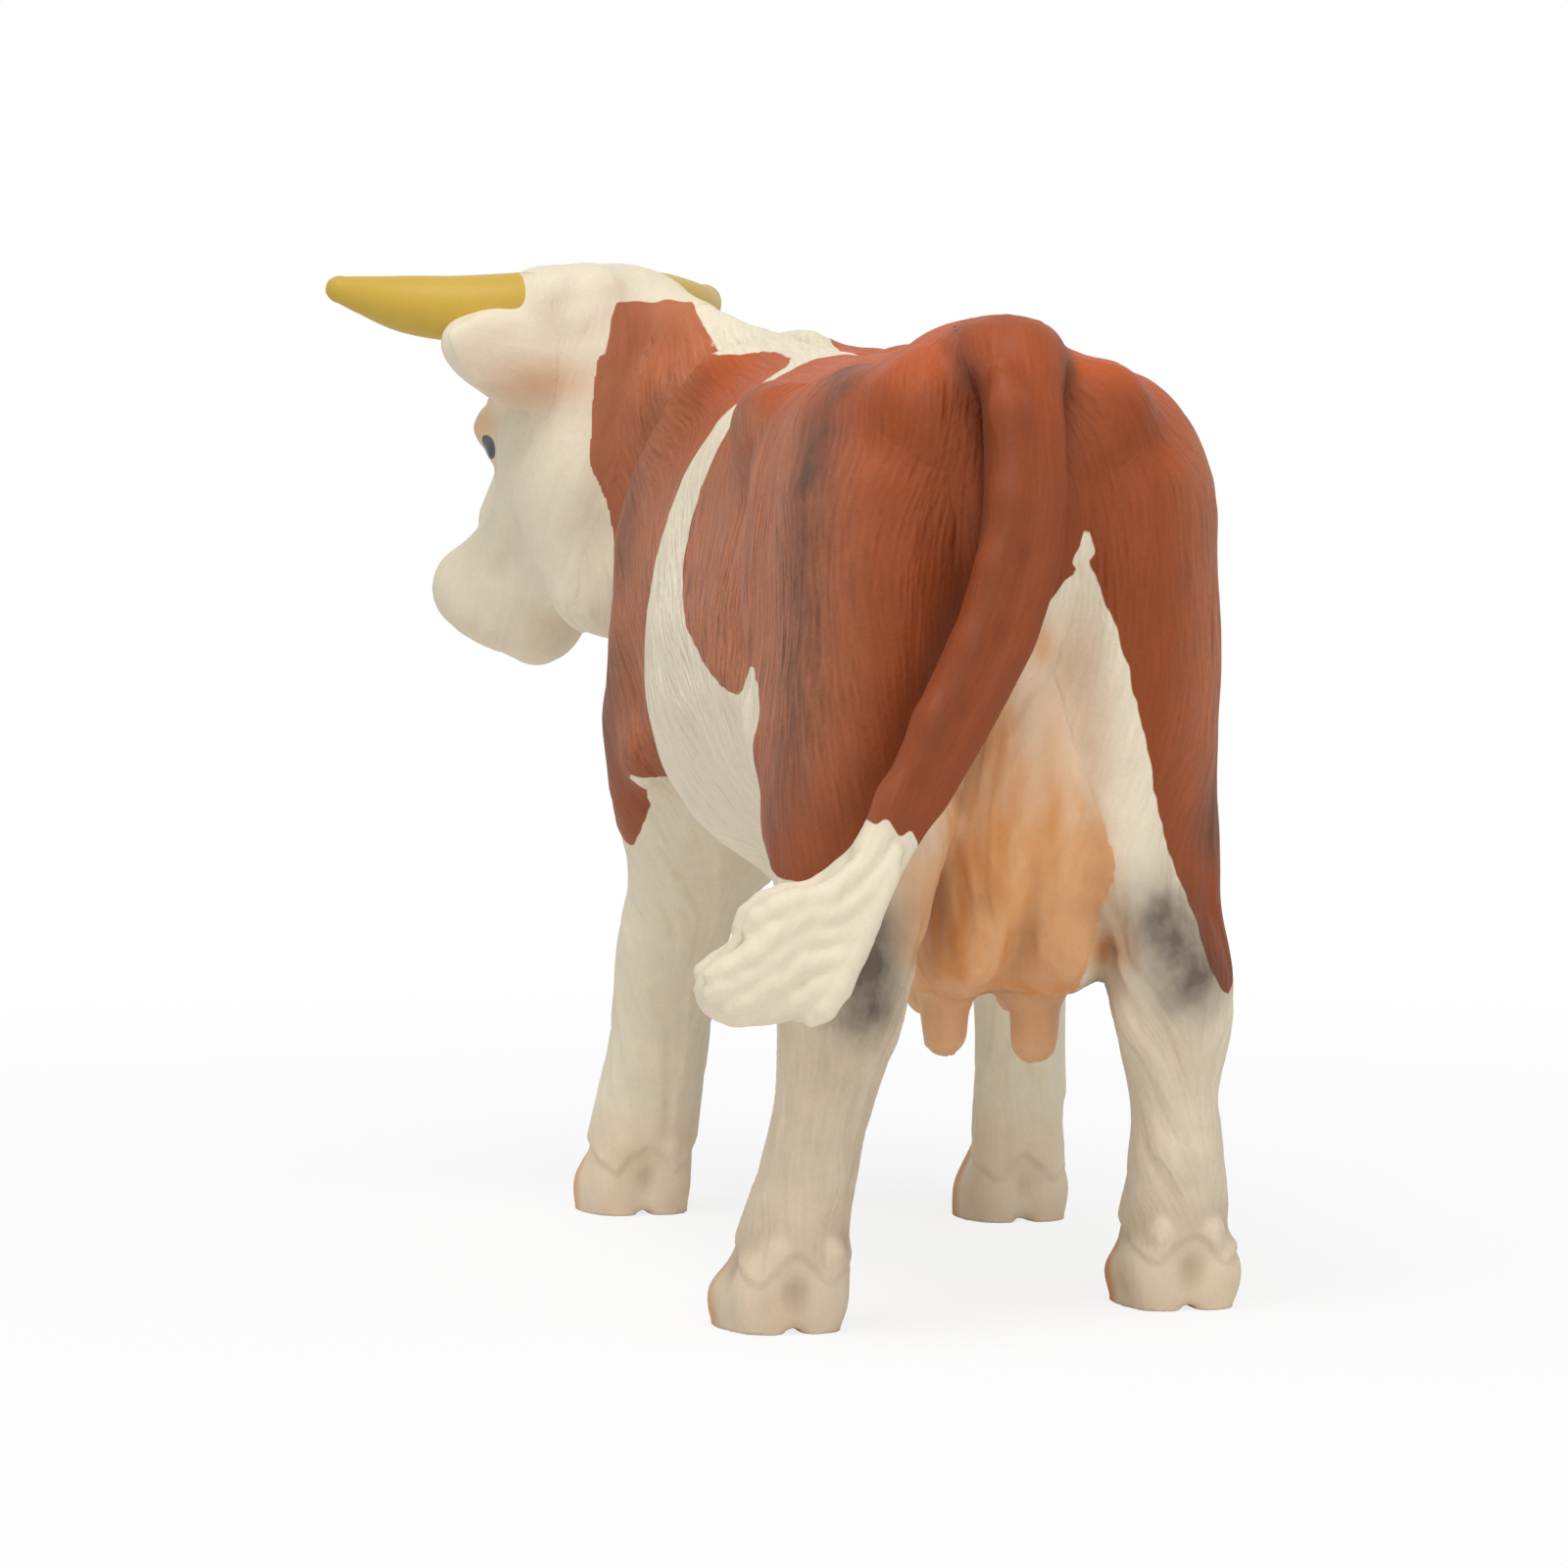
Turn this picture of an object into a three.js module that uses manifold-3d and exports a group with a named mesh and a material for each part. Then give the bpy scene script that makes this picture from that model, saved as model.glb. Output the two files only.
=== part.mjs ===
// A toy dairy cow, standing with her head turned to the left, moulded in solid PVC as thirteen
// pieces that plug into each other and are glued: the trunk, four legs, the neck, the head with its
// horns and ears, the udder and the tail. Millimetres, +X forward, +Y to the cow's left, +Z up.
import * as THREE from "three";
import { mergeVertices } from "three/addons/utils/BufferGeometryUtils.js";
import Module from "manifold-3d";

const wasm = await Module();
wasm.setup();

// Driving sizes
const backHeight = 80;
const trunkLength = 89;
const trunkWidth = 39.5;
const rearLegDepth = 31;
const rearLegWidth = 18.4;
const foreLegDepth = 23;
const foreLegWidth = 15.6;
const neckLength = 30;
const headLength = 33;
const headDepth = 19;
const headWidth = 17;
const hornLength = 20;
const hornThickness = 5.8;
const earLength = 16;
const earHeight = 8;
const earThickness = 3;
const udderLength = 28;
const udderWidth = 17.5;
const udderHeight = 22;
const teatLength = 7;
const teatThickness = 4.2;
const tailDrop = 50;
const tailWidth = 6.6;
const eyeSize = 4.2;
const dewclawSize = 2.4;
const hookLength = 20;
const hookWidth = 11;
const hookHeight = 11;
const cleftWidth = 1.2;
const cleftHeight = 3;
const headTurn = THREE.MathUtils.degToRad(27);
const headDip = THREE.MathUtils.degToRad(50);

// Joints: how deep a limb sits in the trunk, the glue line, and the round pegs in their sockets
const pocketDepth = 6;
const seam = 0.3;
const pegFit = 0.15;
const pegRadius = 2.2;
const pegLength = 12;

const material = (colour, roughness = 0.55) =>
  new THREE.MeshStandardMaterial({ color: colour, roughness, metalness: 0 });
const brown = material("#a5532f");
const cream = material("#e6dcc2");
const yellow = material("#dcc257", 0.45);
const peach = material("#d9a06a");

const vector = (x, y, z) => new THREE.Vector3(x, y, z);
const forward = vector(1, 0, 0);
const left = vector(0, 1, 0);
const upward = vector(0, 0, 1);

// Rows of numbers with smooth rows added between them, so that a table needs few rows.
function smoothRows(rows, steps) {
  const value = (row, column) => rows[Math.min(Math.max(row, 0), rows.length - 1)][column];
  const between = (row, column, t) => {
    const [before, from, to, after] = [-1, 0, 1, 2].map((k) => value(row + k, column));
    const leave = (to - before) / 2;
    const arrive = (after - from) / 2;
    return (
      from * (2 * t ** 3 - 3 * t ** 2 + 1) +
      leave * (t ** 3 - 2 * t ** 2 + t) +
      to * (3 * t ** 2 - 2 * t ** 3) +
      arrive * (t ** 3 - t ** 2)
    );
  };
  const out = [];
  for (let row = 0; row < rows.length - 1; row++)
    for (let step = 0; step < steps; step++)
      out.push(rows[0].map((_, column) => between(row, column, step / steps)));
  out.push(rows[rows.length - 1]);
  return out;
}

// One section: a rounded outline about a centre, with its own reach to the side, above and below.
// Power 2 is an ellipse and more is squarer; sag widens the lower half and narrows the upper one.
function section({ centre, side, up, half, rise, drop, power = 2, sag = 0 }, count) {
  const bend = (v) => Math.sign(v) * Math.abs(v) ** (2 / power);
  return Array.from({ length: count }, (_, i) => {
    const angle = (i / count) * 2 * Math.PI;
    const across = bend(Math.cos(angle));
    const tall = bend(Math.sin(angle));
    return centre
      .clone()
      .addScaledVector(side, half * across * (1 - sag * tall))
      .addScaledVector(up, (tall > 0 ? rise : drop) * tall);
  });
}

// A three.js geometry as a solid that can be joined and cut.
function solid(geometry) {
  const bare = geometry.clone();
  bare.deleteAttribute("normal");
  bare.deleteAttribute("uv");
  const merged = mergeVertices(bare, seam / 1000);
  return new wasm.Manifold(
    new wasm.Mesh({
      numProp: 3,
      vertProperties: merged.attributes.position.array,
      triVerts: new Uint32Array(merged.index.array),
    }),
  );
}

// A solid through sections, whose ends move out by grow. Sections turn from side to up.
function loft(sections, grow = 0) {
  const count = sections[0].length;
  const middle = (points) =>
    points.reduce((sum, point) => sum.add(point), vector(0, 0, 0)).divideScalar(count);
  const shift = (points, next) => {
    const away = middle(points).sub(middle(next)).setLength(grow);
    return points.map((point) => point.clone().add(away));
  };
  const rows = [...sections];
  if (grow !== 0) {
    rows[0] = shift(sections[0], sections[1]);
    rows[rows.length - 1] = shift(sections.at(-1), sections.at(-2));
  }
  const points = [...rows.flat(), middle(rows[0]), middle(rows.at(-1))];
  const first = rows.length * count;
  const last = first + 1;
  const end = first - count;
  const index = [];
  for (let i = 0; i < count; i++) {
    const j = (i + 1) % count;
    for (let a = 0; a < end; a += count) {
      const b = a + count;
      index.push(a + i, a + j, b + j, a + i, b + j, b + i);
    }
    index.push(first, j, i, last, end + i, end + j);
  }
  const geometry = new THREE.BufferGeometry().setFromPoints(points);
  geometry.setIndex(index);
  return solid(geometry);
}

// Sections square to a path of centres, each with its own half width, rise and drop.
// flat is the direction that the width lies across.
function pathLoft(rows, grow, count, flat = upward) {
  const sections = rows.map(({ centre, half, rise, drop }, i) => {
    const before = rows[Math.max(i - 1, 0)].centre;
    const after = rows[Math.min(i + 1, rows.length - 1)].centre;
    const along = after.clone().sub(before).normalize();
    const side = along.clone().cross(flat).normalize();
    const up = side.clone().cross(along);
    return section(
      { centre, side: side.negate(), up, half: half + grow, rise: rise + grow, drop: drop + grow },
      count,
    );
  });
  return loft(sections, grow);
}

function ball(centre, size) {
  const geometry = new THREE.SphereGeometry(size / 2, 10, 6);
  geometry.translate(...centre.toArray());
  return solid(geometry);
}

// A round pin between two points, for a peg and, a little larger, for its socket.
function pin(from, to, radius) {
  const run = to.clone().sub(from);
  const geometry = new THREE.CylinderGeometry(radius, radius, run.length(), 16);
  const turn = new THREE.Quaternion().setFromUnitVectors(left, run.clone().normalize());
  geometry.applyQuaternion(turn);
  geometry.translate(...from.clone().add(to).divideScalar(2).toArray());
  return solid(geometry);
}

// A peg reaches from one piece into the next, whose socket is wider and a little deeper.
function peg(middle, direction) {
  const half = direction.clone().setLength(pegLength / 2);
  const from = middle.clone().sub(half);
  const to = middle.clone().add(half);
  const past = to.clone().add(direction.clone().setLength(seam));
  return { pin: pin(from, to, pegRadius), socket: pin(from, past, pegRadius + pegFit) };
}

// Trunk. Rows: share of the length, top and bottom as shares of the back's height, half width as a
// share of the trunk's width, sag, power
const trunkShares = [
  [0.0, 0.925, 0.82, 0.1, 0.0, 2.0],
  [0.02, 0.962, 0.72, 0.27, 0.0, 2.0],
  [0.06, 0.99, 0.63, 0.37, 0.0, 1.95],
  [0.12, 1.0, 0.54, 0.42, 0.03, 1.9],
  [0.2, 1.0, 0.47, 0.455, 0.06, 1.95],
  [0.3, 0.985, 0.425, 0.48, 0.08, 2.0],
  [0.42, 0.975, 0.405, 0.5, 0.1, 2.2],
  [0.55, 0.975, 0.4, 0.515, 0.12, 2.3],
  [0.68, 0.995, 0.415, 0.47, 0.12, 2.2],
  [0.78, 1.022, 0.445, 0.462, 0.12, 2.1],
  [0.86, 1.0, 0.465, 0.43, 0.08, 2.1],
  [0.93, 0.93, 0.49, 0.36, 0.0, 2.2],
  [0.975, 0.83, 0.54, 0.25, 0.0, 2.1],
  [1.0, 0.74, 0.6, 0.11, 0.0, 2.0],
];
const rumpShare = 0.49;
const trunkPlace = (share) => (share - rumpShare) * trunkLength;

// The hip bones' hooks, a bump on each side: place along, out and up, as shares of the trunk's
// length and width and of the back's height
const hookShares = [0.33, 0.302, 0.878];
function hook(side) {
  const [along, out, up] = hookShares;
  const geometry = new THREE.SphereGeometry(1, 10, 8);
  geometry.scale(hookLength / 2, hookWidth / 2, hookHeight / 2);
  geometry.translate(trunkPlace(along), out * trunkWidth * side, up * backHeight);
  return solid(geometry);
}

function trunkLoft(grow, sides = 24, steps = 2) {
  const stretch = 1 + (2 * grow) / trunkLength;
  const sections = smoothRows(trunkShares, steps).map(([along, top, bottom, half, sag, power]) => {
    const reach = Math.max(((top - bottom) / 2) * backHeight + grow, seam);
    const place = trunkPlace(0.5 + (along - 0.5) * stretch);
    return section(
      {
        centre: vector(place, 0, ((top + bottom) / 2) * backHeight),
        side: left,
        up: upward,
        half: Math.max(half * trunkWidth + grow, seam),
        rise: reach,
        drop: reach,
        power,
        sag,
      },
      sides,
    );
  });
  return loft(sections);
}

// Legs. Rows: height as a share of the back's, the centre's place between foot (0), joint (1) and
// top (2), bow forward, half depth and half width as shares of the leg's depth and width
const rearLegShares = [
  [0.0, 0.0, 0.025, 0.213, 0.28],
  [0.03, 0.0, 0.025, 0.222, 0.288],
  [0.065, 0.08, 0.0, 0.195, 0.266],
  [0.095, 0.18, -0.02, 0.158, 0.248],
  [0.13, 0.28, -0.04, 0.148, 0.225],
  [0.163, 0.4, -0.055, 0.142, 0.205],
  [0.2, 0.55, -0.07, 0.115, 0.197],
  [0.235, 0.7, -0.06, 0.115, 0.212],
  [0.27, 0.86, -0.055, 0.132, 0.245],
  [0.31, 1.0, -0.07, 0.165, 0.272],
  [0.355, 1.08, -0.085, 0.18, 0.268],
  [0.41, 1.24, -0.06, 0.17, 0.285],
  [0.48, 1.46, -0.02, 0.24, 0.37],
  [0.56, 1.75, -0.03, 0.37, 0.415],
  [0.65, 1.93, -0.01, 0.47, 0.445],
  [0.75, 2.0, 0.0, 0.515, 0.47],
  [0.84, 2.0, 0.005, 0.49, 0.455],
  [0.905, 2.0, 0.015, 0.37, 0.36],
  [0.947, 2.0, 0.03, 0.18, 0.17],
  [0.959, 2.0, 0.03, 0.09, 0.08],
];
const foreLegShares = [
  [0.0, 0.0, 0.026, 0.287, 0.35],
  [0.03, 0.0, 0.026, 0.295, 0.36],
  [0.065, 0.06, 0.0, 0.255, 0.33],
  [0.095, 0.16, -0.026, 0.213, 0.305],
  [0.13, 0.3, -0.03, 0.2, 0.295],
  [0.17, 0.48, -0.02, 0.18, 0.27],
  [0.21, 0.66, -0.005, 0.168, 0.26],
  [0.25, 0.84, 0.01, 0.178, 0.275],
  [0.29, 1.0, 0.02, 0.195, 0.29],
  [0.335, 1.2, 0.015, 0.2, 0.31],
  [0.385, 1.45, 0.0, 0.22, 0.315],
  [0.435, 1.62, -0.01, 0.25, 0.365],
  [0.5, 1.78, -0.03, 0.31, 0.46],
  [0.575, 1.9, -0.03, 0.39, 0.565],
  [0.675, 2.0, 0.0, 0.457, 0.55],
  [0.775, 2.0, 0.0, 0.5, 0.48],
  [0.86, 2.0, -0.04, 0.43, 0.38],
  [0.93, 2.0, -0.08, 0.25, 0.2],
  [0.945, 2.0, -0.09, 0.12, 0.1],
];

// Each leg's top, joint and foot: places along the trunk and out from its middle, as shares of the
// trunk's length and of the back's height
const legs = [
  {
    name: "leg_rear_left",
    side: 1,
    placeShares: { top: [0.18, 0.122], joint: [0.107, 0.168], foot: [0.119, 0.217] },
  },
  {
    name: "leg_rear_right",
    side: -1,
    placeShares: { top: [0.18, 0.122], joint: [0.14, 0.185], foot: [0.192, 0.21] },
  },
  {
    name: "leg_front_left",
    side: 1,
    placeShares: { top: [0.838, 0.128], joint: [0.93, 0.153], foot: [1.007, 0.173] },
  },
  {
    name: "leg_front_right",
    side: -1,
    placeShares: { top: [0.838, 0.128], joint: [0.86, 0.238], foot: [0.866, 0.235] },
  },
];
for (const leg of legs) {
  const rear = leg.name.startsWith("leg_rear");
  leg.shares = rear ? rearLegShares : foreLegShares;
  leg.depth = rear ? rearLegDepth : foreLegDepth;
  leg.width = rear ? rearLegWidth : foreLegWidth;
  leg.colour = rear ? brown : cream;
  for (const [spot, [along, out]] of Object.entries(leg.placeShares))
    leg[spot] = vector(trunkPlace(along), out * backHeight * leg.side, 0);
}

function legCentre(leg, [height, lean, bow]) {
  const centre =
    lean < 1 ? leg.foot.clone().lerp(leg.joint, lean) : leg.joint.clone().lerp(leg.top, lean - 1);
  centre.x += bow * leg.depth;
  centre.z = height * backHeight;
  return centre;
}

function legLoft(leg, grow) {
  const sections = leg.shares.map((row) => {
    const reach = row[4] * leg.width + grow;
    return section(
      {
        centre: legCentre(leg, row),
        side: forward,
        up: left,
        half: row[3] * leg.depth + grow,
        rise: reach,
        drop: reach,
        power: 2.2,
      },
      16,
    );
  });
  return loft(sections, grow);
}

// The two small claws behind the fetlock, and the cleft that parts the hoof's two toes
const dewclawRow = 5;
function dewclaws(leg) {
  const row = leg.shares[dewclawRow];
  const behind = legCentre(leg, row).addScaledVector(forward, -row[3] * leg.depth);
  return [1, -1].map((side) => {
    const place = behind.clone().add(vector(dewclawSize / 4, (side * row[4] * leg.width) / 2, 0));
    return ball(place, dewclawSize);
  });
}

function cleft(leg) {
  const length = leg.depth;
  const outline = new THREE.Shape([
    new THREE.Vector2(-cleftWidth / 2, -seam),
    new THREE.Vector2(cleftWidth / 2, -seam),
    new THREE.Vector2(0, cleftHeight),
  ]);
  const geometry = new THREE.ExtrudeGeometry(outline, { depth: length, bevelEnabled: false });
  geometry.translate(0, 0, -length / 2);
  geometry.rotateX(Math.PI / 2);
  geometry.rotateZ(Math.PI / 2);
  geometry.translate(leg.foot.x, leg.foot.y, 0);
  return solid(geometry);
}

// Neck. Rows: centre, then half width, rise and drop, all as shares of its length
const neckPlaceShares = [0.792, 0.75];
const neckRoot = vector(trunkPlace(neckPlaceShares[0]), 0, neckPlaceShares[1] * backHeight);
const neckShares = [
  [0.0, 0.0, 0.0, 0.467, 0.65, 0.567],
  [0.233, 0.05, 0.083, 0.417, 0.61, 0.6],
  [0.433, 0.15, 0.2, 0.35, 0.51, 0.6],
  [0.617, 0.283, 0.317, 0.3, 0.42, 0.6],
  [0.767, 0.4, 0.417, 0.267, 0.36, 0.56],
  [0.883, 0.5, 0.5, 0.25, 0.32, 0.5],
];
const neckRows = smoothRows(neckShares, 2).map((row) => {
  const [x, y, z, half, rise, drop] = row.map((share) => share * neckLength);
  return { centre: vector(x, y, z).add(neckRoot), half, rise, drop };
});
const neckLoft = (grow) => pathLoft(neckRows, grow, 20);

// Head. The poll, its highest point between the horns, stands over the neck's upper end.
// Rows: share of the length, top and bottom as shares of the depth, half width as a share of the
// width, sag, power
const pollShares = [-0.08, 0.055, 0.54];
const poll = neckRows.at(-1).centre.clone().add(vector(...pollShares).multiplyScalar(headDepth));
const headShares = [
  [-0.12, -0.12, -0.32, 0.27, 0, 2.2],
  [-0.09, 0.0, -0.45, 0.39, 0, 2.3],
  [0.0, 0.07, -0.66, 0.46, -0.05, 2.4],
  [0.13, 0.08, -0.88, 0.48, -0.05, 2.4],
  [0.3, 0.04, -1.02, 0.5, -0.08, 2.5],
  [0.44, 0.0, -1.02, 0.5, -0.08, 2.3],
  [0.53, -0.05, -1.06, 0.43, -0.06, 2.2],
  [0.62, -0.1, -1.05, 0.36, -0.04, 2.2],
  [0.72, -0.14, -0.92, 0.33, 0, 2.2],
  [0.82, -0.13, -0.83, 0.375, 0, 2.3],
  [0.93, -0.1, -0.81, 0.415, 0, 2.4],
  [1.01, -0.16, -0.72, 0.36, 0, 2.3],
  [1.06, -0.3, -0.56, 0.2, 0, 2.1],
];
const headSides = 20;
const pollPose = new THREE.Matrix4().makeRotationZ(headTurn).setPosition(poll);
const headPose = pollPose.clone().multiply(new THREE.Matrix4().makeRotationY(headDip));

function headLoft(grow) {
  const sections = smoothRows(headShares, 2).map(([along, top, bottom, half, sag, power]) => {
    const reach = ((top - bottom) / 2) * headDepth + grow;
    return section(
      {
        centre: vector(along * headLength, 0, ((top + bottom) / 2) * headDepth),
        side: left,
        up: upward,
        half: half * headWidth + grow,
        rise: reach,
        drop: reach,
        power,
        sag,
      },
      headSides,
    ).map((point) => point.applyMatrix4(headPose));
  });
  return loft(sections, grow);
}

const eyeShares = [0.46, 0.41, -0.16];
function eye(side) {
  const [along, out, up] = eyeShares;
  const centre = vector(along * headLength, out * headWidth * side, up * headDepth);
  return ball(centre.applyMatrix4(headPose), eyeSize);
}

// Horns and ears run out from the poll. Rows: the centre forward, aside and up as shares of the
// length, then the shares of the thickness and, for an ear, of its height
const hornShares = [
  [0.0, 0.2, -0.105, 1.0, 1.0],
  [0.05, 0.4, -0.105, 1.0, 1.0],
  [0.13, 0.6, -0.1, 0.98, 0.98],
  [0.25, 0.79, -0.09, 0.92, 0.92],
  [0.38, 0.94, -0.07, 0.8, 0.8],
  [0.48, 1.03, -0.045, 0.62, 0.62],
  [0.55, 1.09, -0.02, 0.42, 0.42],
  [0.585, 1.12, -0.002, 0.18, 0.18],
];
const earShares = [
  [-0.1, 0.37, -0.46, 1.0, 0.95],
  [-0.12, 0.5, -0.455, 1.0, 1.05],
  [-0.14, 0.7, -0.44, 0.95, 1.1],
  [-0.15, 0.88, -0.395, 0.85, 1.0],
  [-0.14, 1.04, -0.335, 0.65, 0.68],
  [-0.12, 1.16, -0.29, 0.4, 0.34],
  [-0.1, 1.21, -0.275, 0.15, 0.1],
];
function fromPoll(shares, side, length, thickness, height, grow) {
  const rows = shares.map(([x, y, z, thick, tall]) => ({
    centre: vector(x, y * side, z).multiplyScalar(length).applyMatrix4(pollPose),
    half: (thick * thickness) / 2,
    rise: (tall * height) / 2,
    drop: (tall * height) / 2,
  }));
  return pathLoft(rows, grow, 10);
}
const hornLoft = (side, grow) =>
  fromPoll(hornShares, side, hornLength, hornThickness, hornThickness, grow);
const earLoft = (side, grow) =>
  fromPoll(earShares, side, earLength, earThickness, earHeight, grow);

// Udder. Rows: place along, aside and up, half width, rise and drop, as shares of the udder's
// length, width and height
const udderPlaceShares = [0.225, 0.43];
const udderRoot = vector(trunkPlace(udderPlaceShares[0]), 0, udderPlaceShares[1] * backHeight);
const udderShares = [
  [-0.56, -0.2, 0.5, 0.12, 0.3, 0.25],
  [-0.5, -0.19, 0.36, 0.28, 0.42, 0.4],
  [-0.37, -0.17, 0.14, 0.42, 0.44, 0.38],
  [-0.2, -0.16, -0.02, 0.48, 0.4, 0.36],
  [0.0, -0.15, -0.08, 0.49, 0.34, 0.33],
  [0.2, -0.14, -0.09, 0.47, 0.28, 0.27],
  [0.38, -0.12, -0.05, 0.4, 0.2, 0.2],
  [0.5, -0.1, 0.0, 0.28, 0.12, 0.12],
];
const udderRows = udderShares.map(([x, y, z, half, rise, drop]) => ({
  centre: vector(x * udderLength, y * udderWidth, z * udderHeight).add(udderRoot),
  half: half * udderWidth,
  rise: rise * udderHeight,
  drop: drop * udderHeight,
}));
function udderLoft(grow) {
  const sections = udderRows.map(({ centre, half, rise, drop }) =>
    section(
      {
        centre,
        side: left,
        up: upward,
        half: half + grow,
        rise: rise + grow,
        drop: drop + grow,
        power: 2.2,
      },
      16,
    ),
  );
  return loft(sections, grow);
}

const teatShares = [
  [0.02, 0.086, -0.49],
  [0.02, -0.343, -0.5],
  [0.36, 0.034, -0.37],
  [0.36, -0.4, -0.37],
];
function teat([along, aside, up]) {
  const place = vector(along * udderLength, aside * udderWidth, up * udderHeight);
  const geometry = new THREE.CapsuleGeometry(teatThickness / 2, teatLength - teatThickness, 3, 8);
  geometry.rotateX(Math.PI / 2);
  geometry.translate(...place.add(udderRoot).toArray());
  return solid(geometry);
}

// Tail. Rows: the centre back, aside and down from its head, as shares of the drop, then the
// shares of the width and of the thickness
const tailPlaceShares = [0.06, 0.965];
const tailRoot = vector(trunkPlace(tailPlaceShares[0]), 0, tailPlaceShares[1] * backHeight);
const tailShares = [
  [0.06, 0.006, 0.0, 0.95, 0.78],
  [-0.02, 0.006, 0.0, 1.0, 0.82],
  [-0.09, 0.008, -0.045, 1.04, 0.82],
  [-0.126, 0.012, -0.125, 1.06, 0.8],
  [-0.142, 0.014, -0.225, 1.08, 0.8],
  [-0.15, 0.026, -0.325, 1.06, 0.8],
  [-0.154, 0.064, -0.445, 1.02, 0.78],
  [-0.154, 0.124, -0.56, 0.96, 0.76],
  [-0.15, 0.186, -0.68, 0.84, 0.74],
  [-0.147, 0.24, -0.775, 0.72, 0.72],
  [-0.15, 0.31, -0.885, 1.0, 0.84],
  [-0.154, 0.386, -0.938, 1.52, 0.92],
  [-0.158, 0.44, -0.97, 1.24, 0.9],
  [-0.16, 0.5, -0.992, 0.88, 0.74],
  [-0.16, 0.542, -0.988, 0.4, 0.44],
];
const tailRows = tailShares.map(([x, y, z, wide, thick]) => ({
  centre: vector(x, y, z).multiplyScalar(tailDrop).add(tailRoot),
  half: (wide * tailWidth) / 2,
  rise: (thick * tailWidth) / 2,
  drop: (thick * tailWidth) / 2,
}));
const tailFace = vector(-1, 0, 0.35);
const tailLoft = (grow) => pathLoft(tailRows, grow, 12, tailFace);

// Pegs: each one's middle, near the face where its two pieces meet, and the way it points.
// A limb's peg is at a share of the back's height, and half way out to its pocket's floor.
const joinAll = (shapes) => shapes.reduce((sum, shape) => sum.add(shape));
const legPegShares = [0.7, 0.8];
const legPegs = legs.map((leg) => {
  const [up, out] = legPegShares;
  const aside = out * (trunkWidth / 2 - pocketDepth) * leg.side;
  return peg(vector(leg.top.x, aside, up * backHeight), vector(0, -leg.side, 0));
});
const neckPegShares = [0.883, 0.825];
const neckPegPlace = vector(trunkPlace(neckPegShares[0]), 0, neckPegShares[1] * backHeight);
const neckPeg = peg(neckPegPlace, vector(-1, 0, 0));
const [neckBehind, , , neckEnd] = neckRows.slice(-4).map((row) => row.centre);
const headPeg = peg(neckBehind, neckEnd.clone().sub(neckBehind));
const udderPegShare = 0.25;
const udderPeg = peg(vector(0, 0, udderPegShare * udderHeight).add(udderRoot), upward);

// The limbs are cut by the trunk's core, which is the floor of their pockets, and what shows less
// is cut to clear what shows more: the trunk by the limbs, and the neck by the head.
const hands = [["left", 1], ["right", -1]];
const crown = (grow) =>
  joinAll(hands.flatMap(([, side]) => [hornLoft(side, grow), earLoft(side, grow)]));
const grownLegs = joinAll(legs.map((leg) => legLoft(leg, seam)));
const core = trunkLoft(-pocketDepth, 14, 1);
const coreClear = trunkLoft(seam - pocketDepth, 14, 1);

// The brisket, the trunk's skin ahead of a plane across it, is moulded with the neck
const brisketShare = 0.81;
const brisketPlace = trunkPlace(brisketShare);
const brisket = trunkLoft(0).trimByPlane([1, 0, 0], brisketPlace);

const trunk = joinAll([trunkLoft(0), hook(1), hook(-1)])
  .trimByPlane([-1, 0, 0], seam - brisketPlace)
  .subtract(grownLegs)
  .subtract(neckLoft(seam))
  .subtract(udderLoft(seam))
  .add(core)
  .subtract(tailLoft(seam))
  .subtract(joinAll([...legPegs, neckPeg, udderPeg].map((joint) => joint.socket)));

const neck = neckLoft(0)
  .add(brisket)
  .subtract(grownLegs)
  .subtract(coreClear)
  .subtract(headLoft(seam))
  .subtract(crown(seam))
  .add(neckPeg.pin)
  .add(headPeg.pin);

const head = joinAll([headLoft(0), ...hands.map(([, side]) => eye(side))])
  .subtract(crown(pegFit))
  .subtract(headPeg.socket);

const udder = joinAll([udderLoft(0), ...teatShares.map(teat)])
  .subtract(grownLegs)
  .subtract(coreClear)
  .add(udderPeg.pin);

const tail = tailLoft(0).subtract(grownLegs).subtract(udderLoft(seam));

// The largest part of a solid, without the crumbs that a grazing cut leaves
const whole = (shape) =>
  shape.decompose().reduce((most, part) => (part.volume() > most.volume() ? part : most));

// A solid as a named mesh
function piece(name, shape, colour) {
  const { vertProperties, triVerts } = whole(shape).getMesh();
  const geometry = new THREE.BufferGeometry();
  geometry.setAttribute("position", new THREE.BufferAttribute(vertProperties, 3));
  geometry.setIndex(new THREE.BufferAttribute(triVerts, 1));
  geometry.computeVertexNormals();
  const mesh = new THREE.Mesh(geometry, colour);
  mesh.name = name;
  return mesh;
}

const cow = new THREE.Group();
cow.add(piece("trunk", trunk, brown));
legs.forEach((leg, i) => {
  const shape = joinAll([legLoft(leg, 0), ...dewclaws(leg)])
    .subtract(cleft(leg))
    .subtract(coreClear)
    .add(legPegs[i].pin);
  cow.add(piece(leg.name, shape, leg.colour));
});
cow.add(piece("neck", neck, brown));
cow.add(piece("head", head, cream));
for (const [hand, side] of hands) {
  cow.add(piece(`horn_${hand}`, hornLoft(side, 0), yellow));
  cow.add(piece(`ear_${hand}`, earLoft(side, 0).subtract(hornLoft(side, seam)), cream));
}
cow.add(piece("udder", udder, peach));
cow.add(piece("tail", tail, brown));

// The origin is under the middle of the whole figure, on the ground
const box = new THREE.Box3().setFromObject(cow);
const centre = box.getCenter(vector(0, 0, 0));
cow.position.set(-centre.x, -centre.y, -box.min.z);
export default cow;
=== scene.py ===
from itertools import product

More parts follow.
